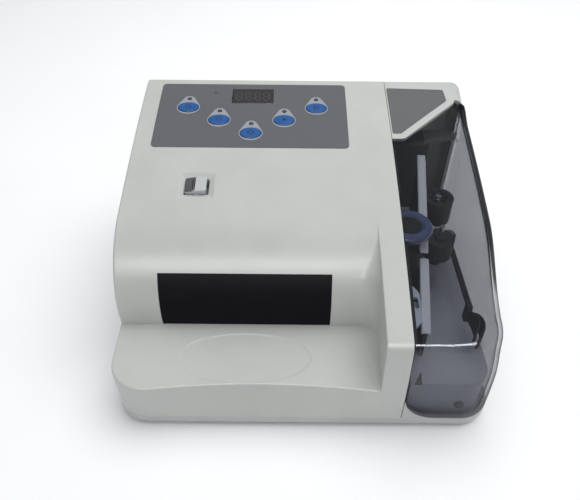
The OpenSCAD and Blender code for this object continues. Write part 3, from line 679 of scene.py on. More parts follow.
def fin_outline(inset, bottom):
    """Front face, bend, crown and rear wall: the door's outline, which the fin shares."""
    last = 180 - math.degrees(math.asin((bottom - FRONT_C[1]) / (FRONT_R - inset)))
    rear, rear_a = rear_edge(inset)
    bend_a = angle_of(CROWN_C, BEND_C)
    return ([(BODY_D - inset, bottom)] + rear
            + arc(CROWN_C, CROWN_R - inset, rear_a, bend_a, 48)[1:]
            + arc(BEND_C, max(BEND_R - inset, 0.5), bend_a, angle_of(FRONT_C, BEND_C), 16)[1:]
            + arc(FRONT_C, FRONT_R - inset, angle_of(FRONT_C, BEND_C), last, 16)[1:])


def fin_soft(inset, bottom):
    """The fin's outline, drawn in only where the fin stands above the nose."""
    out = []
    for (d0, z0), (d1, z1) in zip(fin_outline(0.0, bottom), fin_outline(inset, bottom)):
        w = 1 - ease((d0 - 60.0) / 25.0)
        out.append((mix(d0, d1, w), mix(z0, z1, w)))
    return out


def plan_outline(inset):
    r, q = PLAN_REAR_R - inset, PLAN_FRONT_R - inset
    x0, x1 = PLAN_REAR_R - SIDE_X, SIDE_X - PLAN_REAR_R
    f0, f1 = PLAN_FRONT_R - SIDE_X, SIDE_X - PLAN_FRONT_R
    return (arc((x1, BODY_D - PLAN_REAR_R), r, 0, 90, 10) + arc((x0, BODY_D - PLAN_REAR_R), r, 90, 180, 10)
            + arc((f0, PLAN_FRONT_R), q, 180, 270, 24) + arc((f1, PLAN_FRONT_R), q, 270, 360, 24))


# ---------- case: solids ----------

def loft(name, rings):
    """Closed solid through equal rings of points in the part's (x, depth, z)."""
    bm = bmesh.new()
    rows = [[bm.verts.new(at(*p)) for p in ring] for ring in rings]
    n = len(rows[0])
    for a, b in zip(rows, rows[1:]):
        for i in range(n):
            bm.faces.new([a[i], a[(i + 1) % n], b[(i + 1) % n], b[i]])
    bm.faces.new(rows[0])
    bm.faces.new(rows[-1])
    bmesh.ops.recalc_face_normals(bm, faces=bm.faces)
    return piece(name, bm)


def slab(name, outline, bottom, x0, x1, r0=0.0, r1=0.0, steps=5):
    """A depth-height outline along X, with the edges of its two caps rounded."""
    rings = []
    for k in range(steps if r0 else 0):
        a = math.pi / 2 * k / steps
        rings.append((x0 + r0 * (1 - math.cos(a)), r0 * (1 - math.sin(a))))
    rings += [(x0 + r0, 0.0), (x1 - r1, 0.0)]
    for k in range(steps - 1 if r1 else -1, -1, -1):
        a = math.pi / 2 * k / steps
        rings.append((x1 - r1 * (1 - math.cos(a)), r1 * (1 - math.sin(a))))
    return loft(name, [[(x, d, z) for d, z in outline(inset, bottom)] for x, inset in rings])


def prism(name, axis, outline, low, high):
    """Solid along one axis of "xdz" from an outline in the other two."""
    k = "xdz".index(axis)
    return loft(name, [[(*p[:k], t, *p[k:]) for p in outline] for t in (low, high)])


def column(name, outline, z0, z1):
    return prism(name, "z", outline, z0, z1)


def rod(place, r, z0, z1, n=24):
    """Upright round bar at a plan place."""
    return column("rod", circle(place, r, n), z0, z1)


def ring_band(name, r0, r1, a0, a1, x0, x1, n=48):
    """Sector of a tube round the nose's axis."""
    return prism(name, "x", arc(NOSE_C, r1, a0, a1, n) + arc(NOSE_C, r0, a1, a0, n), x0, x1)


def from_crown(place, u, v, w):
    """The part's (x, depth, z) of a point given on the crown's own axes at a place."""
    p = on_crown(*place) @ Vector((u * MM, v * MM, w * MM))
    return (p.x / MM, p.y / MM + BODY_D / 2, p.z / MM)


def oval_on(place, a, b, heights, n=40, ahead=0.0):
    """Rings of an oval that stands on the crown, one per (scale, height), for loft()."""
    return [[from_crown(place, a * u, ahead + b * v, z) for u, v in circle((0, 0), s, n)]
            for s, z in heights]


def straight(z0, z1):
    return ((1.0, z0), (1.0, z1))


def rect_on(place, half, z, centre=(0.0, 0.0)):
    """Ring of a rectangle that lies on the crown."""
    (u, v), (a, b) = centre, half
    return [from_crown(place, *p, z) for p in rect(u - a, u + a, v - b, v + b)]


def box_on(place, half, z0, z1, half_top=None):
    return [rect_on(place, half, z0), rect_on(place, half_top or half, z1)]


# ---------- case: hand rest ----------

SCOOP_X = (-97.0, 45.0)
SCOOP_DEEP = 4.5
SCOOP_Z = 10.5
SCOOP_R = ((SCOOP_X[1] - SCOOP_X[0]) ** 2 / 4 + SCOOP_DEEP ** 2) / (2 * SCOOP_DEEP)
SCOOP_LEAN = SCOOP_DEEP / (REST_H - SCOOP_Z)


def scoop_sag(x):
    """How far the scoop's curve stands forward of its middle at an x."""
    mid = (SCOOP_X[0] + SCOOP_X[1]) / 2
    return (x - mid) ** 2 / (2 * SCOOP_R)


def rest_strip(x, d, turn):
    """Points up the hand rest's wall and over its rounded top edge at one plan place."""
    front = turn == 0.0
    crease = REST_H - REST_EDGE_R
    if front and SCOOP_X[0] <= x <= SCOOP_X[1]:
        crease = min(crease, SCOOP_Z + scoop_sag(x) / SCOOP_LEAN)
    inward = (-math.sin(turn), math.cos(turn))

    def deep(z):
        return max(0.0, (z - SCOOP_Z) * SCOOP_LEAN - scoop_sag(x)) if front and x <= SCOOP_X[1] else 0.0

    out, top = [], REST_H - REST_EDGE_R
    for k in range(6):
        out.append((0.0, SEAM_H + (crease - SEAM_H) * k / 6))
    for k in range(9):
        z = crease + (top - crease) * k / 8
        out.append((deep(z), z))
    base = deep(top)
    lean = math.atan(SCOOP_LEAN) if base > 0 else 0.0
    for k in range(1, 7):
        a = lean + (math.pi / 2 - lean) * k / 6
        u = base + REST_EDGE_R * (math.cos(lean) - math.cos(a))
        out.append((u, top + REST_EDGE_R * (math.sin(a) - math.sin(lean))))
    strip = []
    for u, z in out:
        px, pd = x + inward[0] * u, d + inward[1] * u + front_d(z) * math.cos(turn) ** 2
        rise = (rest_z(pd) - REST_H) * (1.0 if z > top - 1e-6 else (z - SEAM_H) / (top - SEAM_H))
        strip.append((px, pd, z + rise))
    return strip


def make_rest():
    """Hand rest block: front and left walls with a rounded top edge, ending inside the nose."""
    left = -SIDE_X
    places = [(FIN_LEFT + 3 + (PLAN_FRONT_R + left - FIN_LEFT - 3) * k / 96, 0.0, 0.0) for k in range(97)]
    for k in range(1, 25):
        a = -math.pi / 2 * k / 24
        places.append((left + PLAN_FRONT_R * (1 + math.sin(a)), PLAN_FRONT_R * (1 - math.cos(a)), a))
    places += [(left, mix(PLAN_FRONT_R, REST_END_D, k / 8), -math.pi / 2) for k in range(1, 9)]
    bm = bmesh.new()
    strips = [[bm.verts.new(at(*p)) for p in rest_strip(*place)] for place in places]
    grid_faces(bm, strips)
    far = [bm.verts.new(at(FIN_LEFT + 3, REST_END_D, z)) for z in (SEAM_H, rest_z(REST_END_D))]
    bm.faces.new([s[0] for s in strips] + [far[0]])
    bm.faces.new([s[-1] for s in strips] + [far[1]])
    bm.faces.new(list(strips[0]) + [far[1], far[0]])
    bm.faces.new(list(strips[-1]) + [far[1], far[0]])
    bmesh.ops.recalc_face_normals(bm, faces=bm.faces)
    return piece("rest", bm)


def fillet_section(r):
    """Concave corner filler: (out from the fin, up), dipping a hair into both faces."""
    return [(-r, -1.0)] + arc((-r, r), r + FILLET_DIP, -90, 0, 20) + [(1.0, r), (1.0, -1.0)]


def fin_height(a):
    """Height of the fin above the nose, along a ray from the nose's axis."""
    u = (math.cos(a), math.sin(a))

    def reach(c, r):
        w = (NOSE_C[0] - c[0], NOSE_C[1] - c[1])
        b = u[0] * w[0] + u[1] * w[1]
        return -b + math.sqrt(b * b - w[0] ** 2 - w[1] ** 2 + r * r)

    return min(reach(CROWN_C, CROWN_R), reach(FRONT_C, FRONT_R)) - NOSE_R


def make_fin_fillets():
    """The fillet between the fin and the hand rest, wider to the rear, and round the nose."""
    lean = math.atan(REST_RISE)
    low = []
    for k in range(15):
        d = 1.2 + 58.0 * k / 14
        r = mix(FIN_FILLET_R[0], FIN_FILLET_R[1], min(1.0, d / 50.0))
        low.append([(FIN_LEFT + u, d - w * math.sin(lean), rest_z(d) + w * math.cos(lean))
                    for u, w in fillet_section(r)])
    bent = []
    for k in range(49):
        a = math.radians(106 + 90 * k / 48)
        r = min(FIN_FILLET_R[1], max(0.3, 0.85 * fin_height(a)))
        bent.append([(FIN_LEFT + u, NOSE_C[0] + (NOSE_R - HAIR + w) * math.cos(a),
                      NOSE_C[1] + (NOSE_R - HAIR + w) * math.sin(a)) for u, w in fillet_section(r)])
    out = []
    for name, rings in (("low_fillet", low), ("nose_fillet", bent)):
        clip = slab("clip", drawn_in(fin_outline, CLIP_INSET), SEAM_H + 1, FIN_LEFT - 25, FIN_LEFT + 2)
        out.append(carve(loft(name, rings), clip, "INTERSECT"))
    return out


# ---------- case: main cover ----------

DISH_AT = (-36.7, 23.3)
DISH_HALF = (41.85, 17.9)
DISH_STEPS = ((1.02, 1.5), (1.0, 0.0), (0.985, -0.35), (0.95, -0.75), (0.88, -1.0), (0.6, -1.15))
WINDOW_X = (-90.2, 16.8)
WINDOW_Z = (41.2, 77.8)
KEY_AT = [(-37.2 + 23.0 * i, 155.1 + 12.7 * abs(i)) for i in range(-2, 3)]
KEY_HALF = (7.35, 5.15)
KEY_GAP = 0.4
LED_AHEAD = 9.4
LED_R = 1.4
STATUS_AT = (-64.7, 197.0)
STATUS_R = 1.0
DISPLAY_AT = (-37.4, 193.3)
DISPLAY_HALF = (15.0, 8.0)
SWITCH_AT = (-70.0, 109.5)
RECESS_LOW = (8.0, 6.3)
RECESS_HIGH = (13.4, 13.0)
RECESS_DEEP = 1.7
CUT_Z = (-6.0, 6.0)
SCREW_AT = ((-104, 38), (-104, 196), (50, 196), (52, 16))
SCREW_BOSS_R = 4.0
SCREW_BORE_R = 1.4
JACK_AT = (-80.0, 30.0)
JACK_R = 5.2


def window_angles(gap):
    top = 180 - math.degrees(math.asin((WINDOW_Z[1] - gap - NOSE_C[1]) / NOSE_R))
    low = 180 + math.degrees(math.asin((NOSE_C[1] - WINDOW_Z[0] - gap) / NOSE_R))
    return top, low


def dish_cutter():
    """Shallow oval dish in the hand rest's sloping top."""
    tilt = math.atan(REST_RISE)
    c, s = math.cos(tilt), math.sin(tilt)
    rings = []
    for scale, z in DISH_STEPS:
        oval = [(DISH_HALF[0] * u, DISH_HALF[1] * v) for u, v in circle((0, 0), scale, 72)]
        rings.append([(DISH_AT[0] + u, DISH_AT[1] + v * c - z * s, rest_z(DISH_AT[1]) + v * s + z * c)
                      for u, v in oval])
    return loft("dish", rings)


def cavity():
    """The room inside the cover."""
    low, x0, x1 = SEAM_H - 5, WALL - SIDE_X, FIN_RIGHT - WALL
    body = slab("cavity", drawn_in(body_outline, WALL), low, x0, x1)
    front = SCOOP_DEEP + WALL + 1
    rear = REST_END_D + 0.5
    rest = [(rear, low), (rear, rest_z(rear) - WALL), (front, rest_z(front) - WALL),
            (WALL + 1.0, SCOOP_Z + 4), (WALL, low)]
    carve(body, prism("low_room", "x", rest, x0, x1), "UNION")
    carve(body, slab("fin_room", drawn_in(fin_outline, WALL), low, FIN_LEFT + WALL, x1), "UNION")
    return carve(body, column("plan", plan_outline(WALL), 0.0, 200.0), "INTERSECT")


def fin_openings():
    """Openings in the fin's right wall, toward the note channel."""
    x0, x1 = FIN_RIGHT - WALL - 1, FIN_RIGHT + 1
    out = []
    for inset, low, high in ((WALL + 5, (x0 - 1, 16, 0), (x1 + 1, 300, 200)),
                             (WALL, (x0 - 1, 70, 60), (x1 + 1, 112, 200))):
        hole = slab("opening", drawn_in(fin_outline, inset), 3.5, x0, x1)
        out.append(carve(hole, block("keep", low, high), "INTERSECT"))
    return out


def make_main_cover():
    """Main cover: body, hand rest and fin as one hollow moulding with its openings."""
    body = slab("main_shell", lambda i, b: body_outline(i + HAIR, b), SEAM_H, HAIR - SIDE_X, FIN_LEFT + 5,
                CAP_EDGE_R)
    carve(body, make_rest(), "UNION")
    carve(body, slab("fin", fin_soft, SEAM_H, FIN_LEFT, FIN_RIGHT, FIN_EDGE_R, 0.5), "UNION")
    for filler in make_fin_fillets():
        carve(body, filler, "UNION")
    carve(body, column("plan", plan_outline(-HAIR), 0.0, 200.0), "INTERSECT")
    carve(body, cavity())
    for hole in fin_openings():
        carve(body, hole)
    for place in SCREW_AT:
        carve(body, rod(place, SCREW_BOSS_R, SEAM_H, 30.0), "UNION")
        carve(body, rod(place, SCREW_BORE_R, 0.0, 22.0, 12))
    carve(body, dish_cutter())
    a0, a1 = window_angles(0.0)
    carve(body, ring_band("window", NOSE_R - 6, NOSE_R + 6, a0, a1, *WINDOW_X))
    holes = [oval_on(p, KEY_HALF[0] + KEY_GAP, KEY_HALF[1] + KEY_GAP, straight(*CUT_Z)) for p in KEY_AT]
    holes += [oval_on(p, LED_R * 1.2, LED_R * 1.2, straight(*CUT_Z), 16, LED_AHEAD) for p in KEY_AT]
    holes.append(oval_on(STATUS_AT, STATUS_R + 0.2, STATUS_R + 0.2, straight(*CUT_Z), 16))
    holes.append(box_on(DISPLAY_AT, (DISPLAY_HALF[0] + 0.2, DISPLAY_HALF[1] + 0.2), -7, 5))
    holes.append(box_on(SWITCH_AT, RECESS_LOW, -11, 3))
    holes.append(box_on(SWITCH_AT, RECESS_LOW, -RECESS_DEEP, 0.8, RECESS_HIGH))
    for rings in holes:
        carve(body, loft("hole", rings))
    carve(body, prism("jack", "d", circle(JACK_AT, JACK_R, 32), BODY_D - 7, BODY_D + 1))
    settle(body, "case", "cover_white", ("main_cover",), 19, True)


def make_window():
    """Dark pane let into the nose, flush with it."""
    a0, a1 = window_angles(0.2)
    pane = ring_band("window_pane", NOSE_R - 2.1, NOSE_R - 0.1, a0, a1, WINDOW_X[0] + 0.2, WINDOW_X[1] - 0.2)
    settle(pane, "case", "window_black", ("front_window",), 40, True)


# ---------- case: corner cover and base ----------

CORNER_FRONT = 191.5
CORNER_EDGE_R = 7.5
CORNER_TURN_R = 5.0
CORNER_REAR_EDGE_R = 2.2
CORNER_DIAGONAL = ((109.6, 188.75), (69.0, 151.5), (60.6, 151.4))


def corner_stations():
    """Along the right side, round the rear corner and along the rear wall to the main cover."""
    out, sides, turns, rears = [], 14, 12, 22
    x_turn, d_turn = SIDE_X - PLAN_REAR_R, BODY_D - PLAN_REAR_R
    for k in range(sides + 1):
        t = k / sides
        p = (SIDE_X, mix(CORNER_FRONT, d_turn, t))
        out.append((p, p, math.pi / 2, mix(CORNER_EDGE_R, CORNER_TURN_R, ease(t)), 0.0))
    for k in range(1, turns + 1):
        a = math.pi / 2 * (1 + k / turns)
        p = (x_turn + PLAN_REAR_R * math.sin(a), d_turn - PLAN_REAR_R * math.cos(a))
        out.append((p, p, a, mix(CORNER_TURN_R, CORNER_REAR_EDGE_R, k / turns), 0.0))
    for k in range(1, rears + 1):
        p = (mix(x_turn, FIN_RIGHT + 0.4, k / rears), BODY_D)
        out.append((p, p, math.pi, CORNER_REAR_EDGE_R, 0.0))
    return out, sides + turns // 2


def make_corner_cover():
    """Cover over the rear right corner, which meets the door along a diagonal."""
    stations, split = corner_stations()
    corner = shell("corner_shell", stations, split, lambda s: SEAM_H, CORNER_DIAGONAL,
                   CORNER_DIAGONAL[-1:], 8, 10)
    thicken(corner, WALL, False)
    carve(corner, rod(HINGE, LUG_R + 0.5, 0.0, 200.0))
    settle(corner, "case", "cover_white", ("corner_cover",), 40, True)


WEB_R = 20.0
WEB_C = (FIN_RIGHT + 0.4 + WEB_R, 30.3)
BOARD_POSTS = ((-100, 79), (-20, 79), (-100, 168), (-20, 168))
POST_R = (3.5, 1.2)
HINGE_POST_R = (3.6, PIN_R)
SCREW_HOLE_R = 1.7
SCREW_SINK = (3.8, 1.4)


def make_base():
    """Base tray: a pan with a softened lower edge, its front web and its posts."""
    lips = [(1.2, FOOT_H), (0.5, FOOT_H + 0.25), (0.12, FOOT_H + 0.7), (0.0, FOOT_H + 1.3),
            (0.0, SEAM_H - 0.35), (0.3, SEAM_H)]
    base = loft("base_pan", [[(x, d, z) for x, d in plan_outline(inset)] for inset, z in lips])
    carve(base, column("room", plan_outline(WALL), FOOT_H + WALL, 50.0))
    web = slab("web", fin_outline, SEAM_H - 0.5, FIN_RIGHT + 0.3, FIN_RIGHT + WEB_R, 0.3)
    carve(web, slab("inner", drawn_in(fin_outline, WALL), 3.5, FIN_RIGHT - 2, FIN_RIGHT + WEB_R + 2))
    carve(web, block("keep", (0, -1, SEAM_H - 0.6), (SIDE_X, 30, 27)), "INTERSECT")
    carve(web, prism("bite", "d", circle(WEB_C, WEB_R + 0.4, 90), -20, 60))
    carve(base, web, "UNION")
    inside = FOOT_H + WALL
    for place, (r, bore), top in [(p, POST_R, 14.0) for p in BOARD_POSTS] + [(HINGE, HINGE_POST_R, SEAM_H)]:
        carve(base, rod(place, r, inside - 0.5, top), "UNION")
        carve(base, rod(place, bore, inside, 50.0, 12))
    for place in SCREW_AT:
        carve(base, rod(place, SCREW_HOLE_R, 0.0, 50.0, 12))
        carve(base, rod(place, SCREW_SINK[0], 0.0, FOOT_H + SCREW_SINK[1]))
    settle(base, "case", "base_grey", ("base_tray",), 35, True)


# ---------- small parts on the panel ----------

KEY_DOME = ((1.0, -1.8), (1.0, 0.55), (0.985, 0.82), (0.93, 0.98), (0.8, 1.08), (0.55, 1.16),
            (0.25, 1.195))
KEY_STEM_R = 2.0
KEY_MARK = (-0.12, 0.03)


def key_dome_z(u, v):
    """Height of the key's dome above the crown at a place on it."""
    k = min(1.0, math.hypot(u / KEY_HALF[0], v / KEY_HALF[1]))
    heights = sorted((s, z) for s, z in KEY_DOME if z > 0)
    for (s0, z0), (s1, z1) in zip(heights, heights[1:]):
        if s0 <= k <= s1:
            return z0 + (z1 - z0) * (k - s0) / (s1 - s0)
    return heights[0][1]


def mark_strip(place, points, width):
    """A flat printed line on a key, following its dome."""
    bm = bmesh.new()
    rows = []
    for i, (u, v) in enumerate(points):
        a, b = points[max(i - 1, 0)], points[min(i + 1, len(points) - 1)]
        l = math.hypot(b[0] - a[0], b[1] - a[1]) or 1.0
        nu, nv = -(b[1] - a[1]) / l * width / 2, (b[0] - a[0]) / l * width / 2
        row = []
        for s in (-1, 1):
            for lift in KEY_MARK:
                p, q = u + s * nu, v + s * nv
                row.append(bm.verts.new(at(*from_crown(place, p, q, key_dome_z(p, q) + lift))))
        rows.append(row)
    for a, b in zip(rows, rows[1:]):
        for i, j in ((0, 1), (1, 3), (3, 2), (2, 0)):
            bm.faces.new([a[i], a[j], b[j], b[i]])
    for r in (rows[0], rows[-1]):
        bm.faces.new([r[0], r[1], r[3], r[2]])
    bmesh.ops.recalc_face_normals(bm, faces=bm.faces)
    return piece("mark", bm)


def line(a, b, n=6):
    return [(mix(a[0], b[0], k / n), mix(a[1], b[1], k / n)) for k in range(n + 1)]


def sides(*points):
    """Straight paths from each point to the next."""
    return tuple(line(a, b) for a, b in zip(points, points[1:]))


# Generic signs in place of lettering: dot in a ring, horseshoe, lozenge, plus and play
KEY_SIGNS = (
    (arc((0, 0), 1.7, 0, 360, 20), line((-0.25, 0), (0.25, 0), 1)),
    (arc((0, 0), 1.5, 200, -20, 20), line((-1.5, -0.4), (-1.5, -1.7), 3), line((1.5, -0.4), (1.5, -1.7), 3)),
    sides((-2.4, 0), (0, 1.8), (2.4, 0), (0, -1.8), (-2.4, 0)),
    (line((-2.0, 0), (2.0, 0)), line((0, -1.8), (0, 1.8))),
    sides((-1.3, 1.8), (1.9, 0), (-1.3, -1.8), (-1.3, 1.8)),
)
SIGN_WIDTH = 0.55


def make_keys():
    """Five domed keys on their stems, each with its generic sign."""
    for i, place in enumerate(KEY_AT):
        cap = loft(f"key_cap_{i + 1}", oval_on(place, *KEY_HALF, KEY_DOME, 48))
        stem = loft("stem", oval_on(place, KEY_STEM_R, KEY_STEM_R, straight(-3.0, -1.6), 24))
        body = f"key_{i + 1}"
        settle(join(f"key_cap_{i + 1}", [cap, stem]), body, "key_blue", (body,), 50)
        signs = [mark_strip(place, path, SIGN_WIDTH) for path in KEY_SIGNS[i]]
        settle(join(f"key_sign_{i + 1}", signs), body, "display_smoke")


LAMP_DOME = ((1.0, -6.8), (1.0, 0.35), (0.92, 0.52), (0.7, 0.64), (0.35, 0.69))


def make_lamps():
    """The five key lamps and the status lamp, each with a domed head."""
    parts = [loft("lamp", oval_on(p, LED_R, LED_R, LAMP_DOME, 24, LED_AHEAD)) for p in KEY_AT]
    status = tuple((k, z - 0.1 if z > 0 else z) for k, z in LAMP_DOME)
    parts.append(loft("lamp", oval_on(STATUS_AT, STATUS_R, STATUS_R, status, 24)))
    settle(join("lamp_heads", parts), "case", "led_dark", ("indicator_leds",), 50)


LENS_T = (-1.3, 0.3)
DIGITS = 4
DIGIT_PITCH = 6.6
DIGIT_HALF = (1.9, 4.2)
BAR_HALF_W = 0.375
BAR_END = 0.6


def digit_bars(u0):
    """The seven bars of one digit, as (centre, half size)."""
    w, h = DIGIT_HALF
    flat, upright = (w - BAR_END, BAR_HALF_W), (BAR_HALF_W, h / 2 - BAR_END)
    return ([((u0, v), flat) for v in (h, 0, -h)]
            + [((u0 + u, v), upright) for v in (h / 2, -h / 2) for u in (-w, w)])


def make_display():
    """Display lens with a softened edge, and unlit seven-bar digits just under its face."""
    hx, hd = DISPLAY_HALF
    rings = [rect_on(DISPLAY_AT, (hx - k, hd - k), z)
             for k, z in ((0.0, LENS_T[0]), (0.0, LENS_T[1] - 0.25), (0.25, LENS_T[1]))]
    settle(loft("display_pane", rings), "case", "display_smoke", ("display_lens",), 30)
    bars = []
    for i in range(DIGITS):
        for centre, half in digit_bars((i - (DIGITS - 1) / 2) * DIGIT_PITCH):
            rings = [rect_on(DISPLAY_AT, half, LENS_T[1] + z, centre) for z in (-0.2, 0.02)]
            bars.append(loft("bar", rings))
    settle(join("display_bars", bars), "case", "led_dark")


# ---------- power switch ----------

ROCKER_PIVOT = -2.0
ROCKER_TILT = math.radians(8)
ROCKER_SECTION = ((-6, -2), (6, -2), (7.1, 3), (6.4, 3.35), (1.2, 3.9), (0, 3.97), (-1.2, 3.9),
                  (-6.4, 3.35), (-7.1, 3))
ROCKER_HALF_D = 5.8
ROCKER_SOFT = 0.35
AXLE = (1.2, 6.9)
AXLE_BORE = (1.25, 7.2)
# How far from the paddle's left top the painted shade of its tilted half reaches, in metres
TILT_SHADE_REACH = 0.006
RIB_U = ((-1.9, -1.3), (-0.5, 0.1))
RIB_HALF_D = 3.6
RIB_Z = (3.66, 4.0)
SWITCH_BOX = ((9.5, 8.0), -10.1, -2.75)
SWITCH_WELL = ((7.9, 6.1), -8.8, 0.0)


def from_rocker(u, v, w):
    """The part's place of a point on the tilted rocker's own axes."""
    c, s = math.cos(-ROCKER_TILT), math.sin(-ROCKER_TILT)
    return from_crown(SWITCH_AT, c * u + s * w, v, -s * u + c * w + ROCKER_PIVOT)


def spindle(name, r, half_d, point):
    """Round bar across the rocker, with point giving the place of (u, v, w)."""
    return loft(name, [[point(u, v, w) for u, w in circle((0, 0), r, 24)] for v in (-half_d, half_d)])


def make_rocker():
    """Power switch's paddle with two ribs; its upward faces left of the ridge get the dark finish as painted
    shade on its tilted half.
    """
    rings = []
    half_u, flat = max(ROCKER_SECTION)[0], ROCKER_HALF_D - ROCKER_SOFT
    for v, k in ((-ROCKER_HALF_D, ROCKER_SOFT), (-flat, 0.0), (flat, 0.0), (ROCKER_HALF_D, ROCKER_SOFT)):
        rings.append([from_rocker(u * (1 - k / half_u), v, w - (k if w > 0 else -k))
                      for u, w in ROCKER_SECTION])
    paddle = join("rocker_paddle", [loft("paddle", rings), spindle("axle", *AXLE, from_rocker)])
    settle(paddle, "rocker", "switch_grey", ("rocker",), 25)
    paddle.data.materials.append(MATERIALS["switch_dark"])
    # Painted shade: upward faces left of the ridge take the dark slot in place of the tilted half's shade
    left, ridge = at(*from_rocker(-3.5, 0, 3.6)), at(*from_rocker(-0.6, 0, 3.9)).x
    for f in paddle.data.polygons:
        if f.center.x < ridge and f.normal.z > 0.3 and (f.center - left).length < TILT_SHADE_REACH:
            f.material_index = 1
    ribs = []
    for u0, u1 in RIB_U:
        outline = rect(u0, u1, -RIB_HALF_D, RIB_HALF_D)
        ribs.append(loft("rib", [[from_rocker(u, v, w) for u, v in outline] for w in RIB_Z]))
    settle(join("rocker_ribs", ribs), "rocker", "black_plastic")


def make_switch():
    """Power switch's body: an open box with a bore for the rocker's axle."""
    body = loft("switch_body", box_on(SWITCH_AT, *SWITCH_BOX))
    carve(body, loft("well", box_on(SWITCH_AT, *SWITCH_WELL)))
    carve(body, spindle("axis", *AXLE_BORE, lambda u, v, w: from_crown(SWITCH_AT, u, v, ROCKER_PIVOT + w)))
    settle(body, "case", "switch_grey", ("switch_frame",), 30)


# ---------- note channel ----------

BAR_FROM = (72.0, 27.0)
BAR_TO = (84.0, 156.0)
BAR_L = math.hypot(BAR_TO[0] - BAR_FROM[0], BAR_TO[1] - BAR_FROM[1])
BAR_H = (60.0, 100.0)
BAR_TURN = math.atan2(BAR_TO[1] - BAR_FROM[1], BAR_TO[0] - BAR_FROM[0])
CAP_HALF = (2.9, 2.3)
CAP_LOW = -2.0
CAP_SOFT = 0.6
WEB_HALF = 1.25
WEB_DROP = 1.5
# Along the bar, up and across it
POCKET = (48, 80, 57, 76, -10, 10)
SEAT = (90, 106, 66, 86, 0.6, 2.6)
FLOOR_H = 37.0
TRIANGLE = ((64.6, 39.4), (69.2, 39.4), (66.9, 50.6))


def on_bar(u, v, z):
    """The part's place of a point across (u) and along (v) the guide bar."""
    ax, ad = math.cos(BAR_TURN), math.sin(BAR_TURN)
    return (BAR_FROM[0] + ax * v + ad * u, BAR_FROM[1] + ad * v - ax * u, z)


def bar_z(v):
    return BAR_H[0] + (BAR_H[1] - BAR_H[0]) * v / BAR_L


def bar_box(v0, v1, z0, z1, u0, u1):
    """Box on the guide bar's own axes, for cutting with."""
    return loft("box", [[on_bar(u, v, z) for v, z in rect(v0, v1, z0, z1)] for u in (u0, u1)])


def make_guide():
    """Guide plate: a pale cap bar along the top of a dark web with its pocket; the web's black also stands
    in for the shade deep in the channel behind it (painted shade).
    """
    rings = []
    for k in range(33):
        v = BAR_L * k / 32
        end = 0.4 if k in (0, 32) else 0.0
        (a, b), low = CAP_HALF, -CAP_SOFT - end
        section = ((-a, CAP_LOW), (a, CAP_LOW), (a, low), (b, -end), (-b, -end), (-a, low))
        rings.append([on_bar(u, v, bar_z(v) + z) for u, z in section])
    cap = loft("guide_cap", rings)
    side = ((0, FLOOR_H), (BAR_L, FLOOR_H), (BAR_L, BAR_H[1] - WEB_DROP), (0, BAR_H[0] - WEB_DROP))
    web = loft("guide_web", [[on_bar(u, v, z) for v, z in side] for u in (-WEB_HALF, WEB_HALF)])
    carve(web, bar_box(*POCKET))
    carve(web, bar_box(*SEAT))
    carve(cap, bar_box(*POCKET))
    settle(cap, "case", "guide_grey", ("guide_plate",), 40)
    # The web is a real part, and its black is partly painted shade for the shaded interior behind the bar
    settle(web, "case", "black_plastic")


def make_triangle():
    """Small dark arrow printed inside the door's front wall."""
    rings = [[(x, front_d(z) + WALL + inset, z) for x, z in TRIANGLE] for inset in (0.02, 0.3)]
    settle(loft("door_arrow", rings), "door", "black_plastic")


BRACKET_Z = (95.0, 100.0)
BRACKET_SPLIT_X = 90.0
BRACKET_SHRINK = 0.4
BRACKET_FRONT_D = 176.0
BRACKET_REAR_D = 190.0
BRACKET_BEND = (80.0, 173.0)
BRACKET_POST = (66, 94, BRACKET_FRONT_D, 186)
ARM_END_X = 96.0
KNUCKLE_R = 3.2


def make_bracket():
    """Hinge bracket: a dark plate on its post, and a grey arm out to the door's pin."""
    x0, x1, rear = FIN_RIGHT + 3, BRACKET_SPLIT_X, BRACKET_REAR_D
    front = mix(BRACKET_BEND[1], HINGE[1] - 3, (x1 - BRACKET_BEND[0]) / (HINGE[0] - 81))
    outline = [(x0, BRACKET_FRONT_D), BRACKET_BEND, (x1, front), (x1, rear), (x0, rear)]
    plate = column("bracket_plate", outline, *BRACKET_Z)
    post = column("post", rect(*BRACKET_POST), FLOOR_H, BRACKET_Z[0] + 0.5)
    settle(join("bracket_plate", [plate, post]), "case", "black_plastic", ("hinge_bracket",), 30)
    outline = [(x1, front)] + arc(HINGE, KNUCKLE_R, -90, 90, 16) + [(ARM_END_X, rear), (x1, rear)]
    arm = column("bracket_arm", outline, BRACKET_Z[0] + BRACKET_SHRINK, BRACKET_Z[1] - BRACKET_SHRINK)
    carve(arm, rod(HINGE, PIN_R, 0, 120, 32))
    settle(arm, "case", "label_grey", (), 30)


# The two blades: plan centre (x, depth), radius, first and last angle, low and high end
BLADES = ((92.0, 38.0, 14.5, -46, 42, 45.0, 60.0), (91.0, 38.0, 18.8, -50, 30, 45.0, 58.5))
BLADE_T = 0.9
CLIP = (101.4, 104.6, 47, 52)
CLIP_Z = (46.0, 59.4)


def make_blade(x, d, r, a0, a1, z0, z1, n=28):
    """A leaf-shaped blade, curved in plan and rounded at both ends."""
    rings = []
    for k in range(n + 1):
        s = k / n
        a = math.radians(mix(a0, a1, s))
        tall = 0.12 + 0.88 * math.sin(math.pi * min(1.0, 0.06 + 0.9 * s)) ** 0.55
        mid, half = (z0 + z1) / 2, (z1 - z0) / 2 * tall
        rings.append([(x + q * math.cos(a), d + q * math.sin(a), mid + w * half)
                      for q, w in ((r - BLADE_T, -1), (r, -0.97), (r, 0.97), (r - BLADE_T, 1))])
    return loft("blade", rings)


def make_fingers():
    """Two leaf blades and the foot that clips them on the arm's rod."""
    parts = [column("foot", rect(*CLIP), *CLIP_Z)] + [make_blade(*b) for b in BLADES]
    settle(join("finger_blades", parts), "press_arm", "pad_rubber", ("pusher_fingers",), 40)


# ---------- finishes ----------

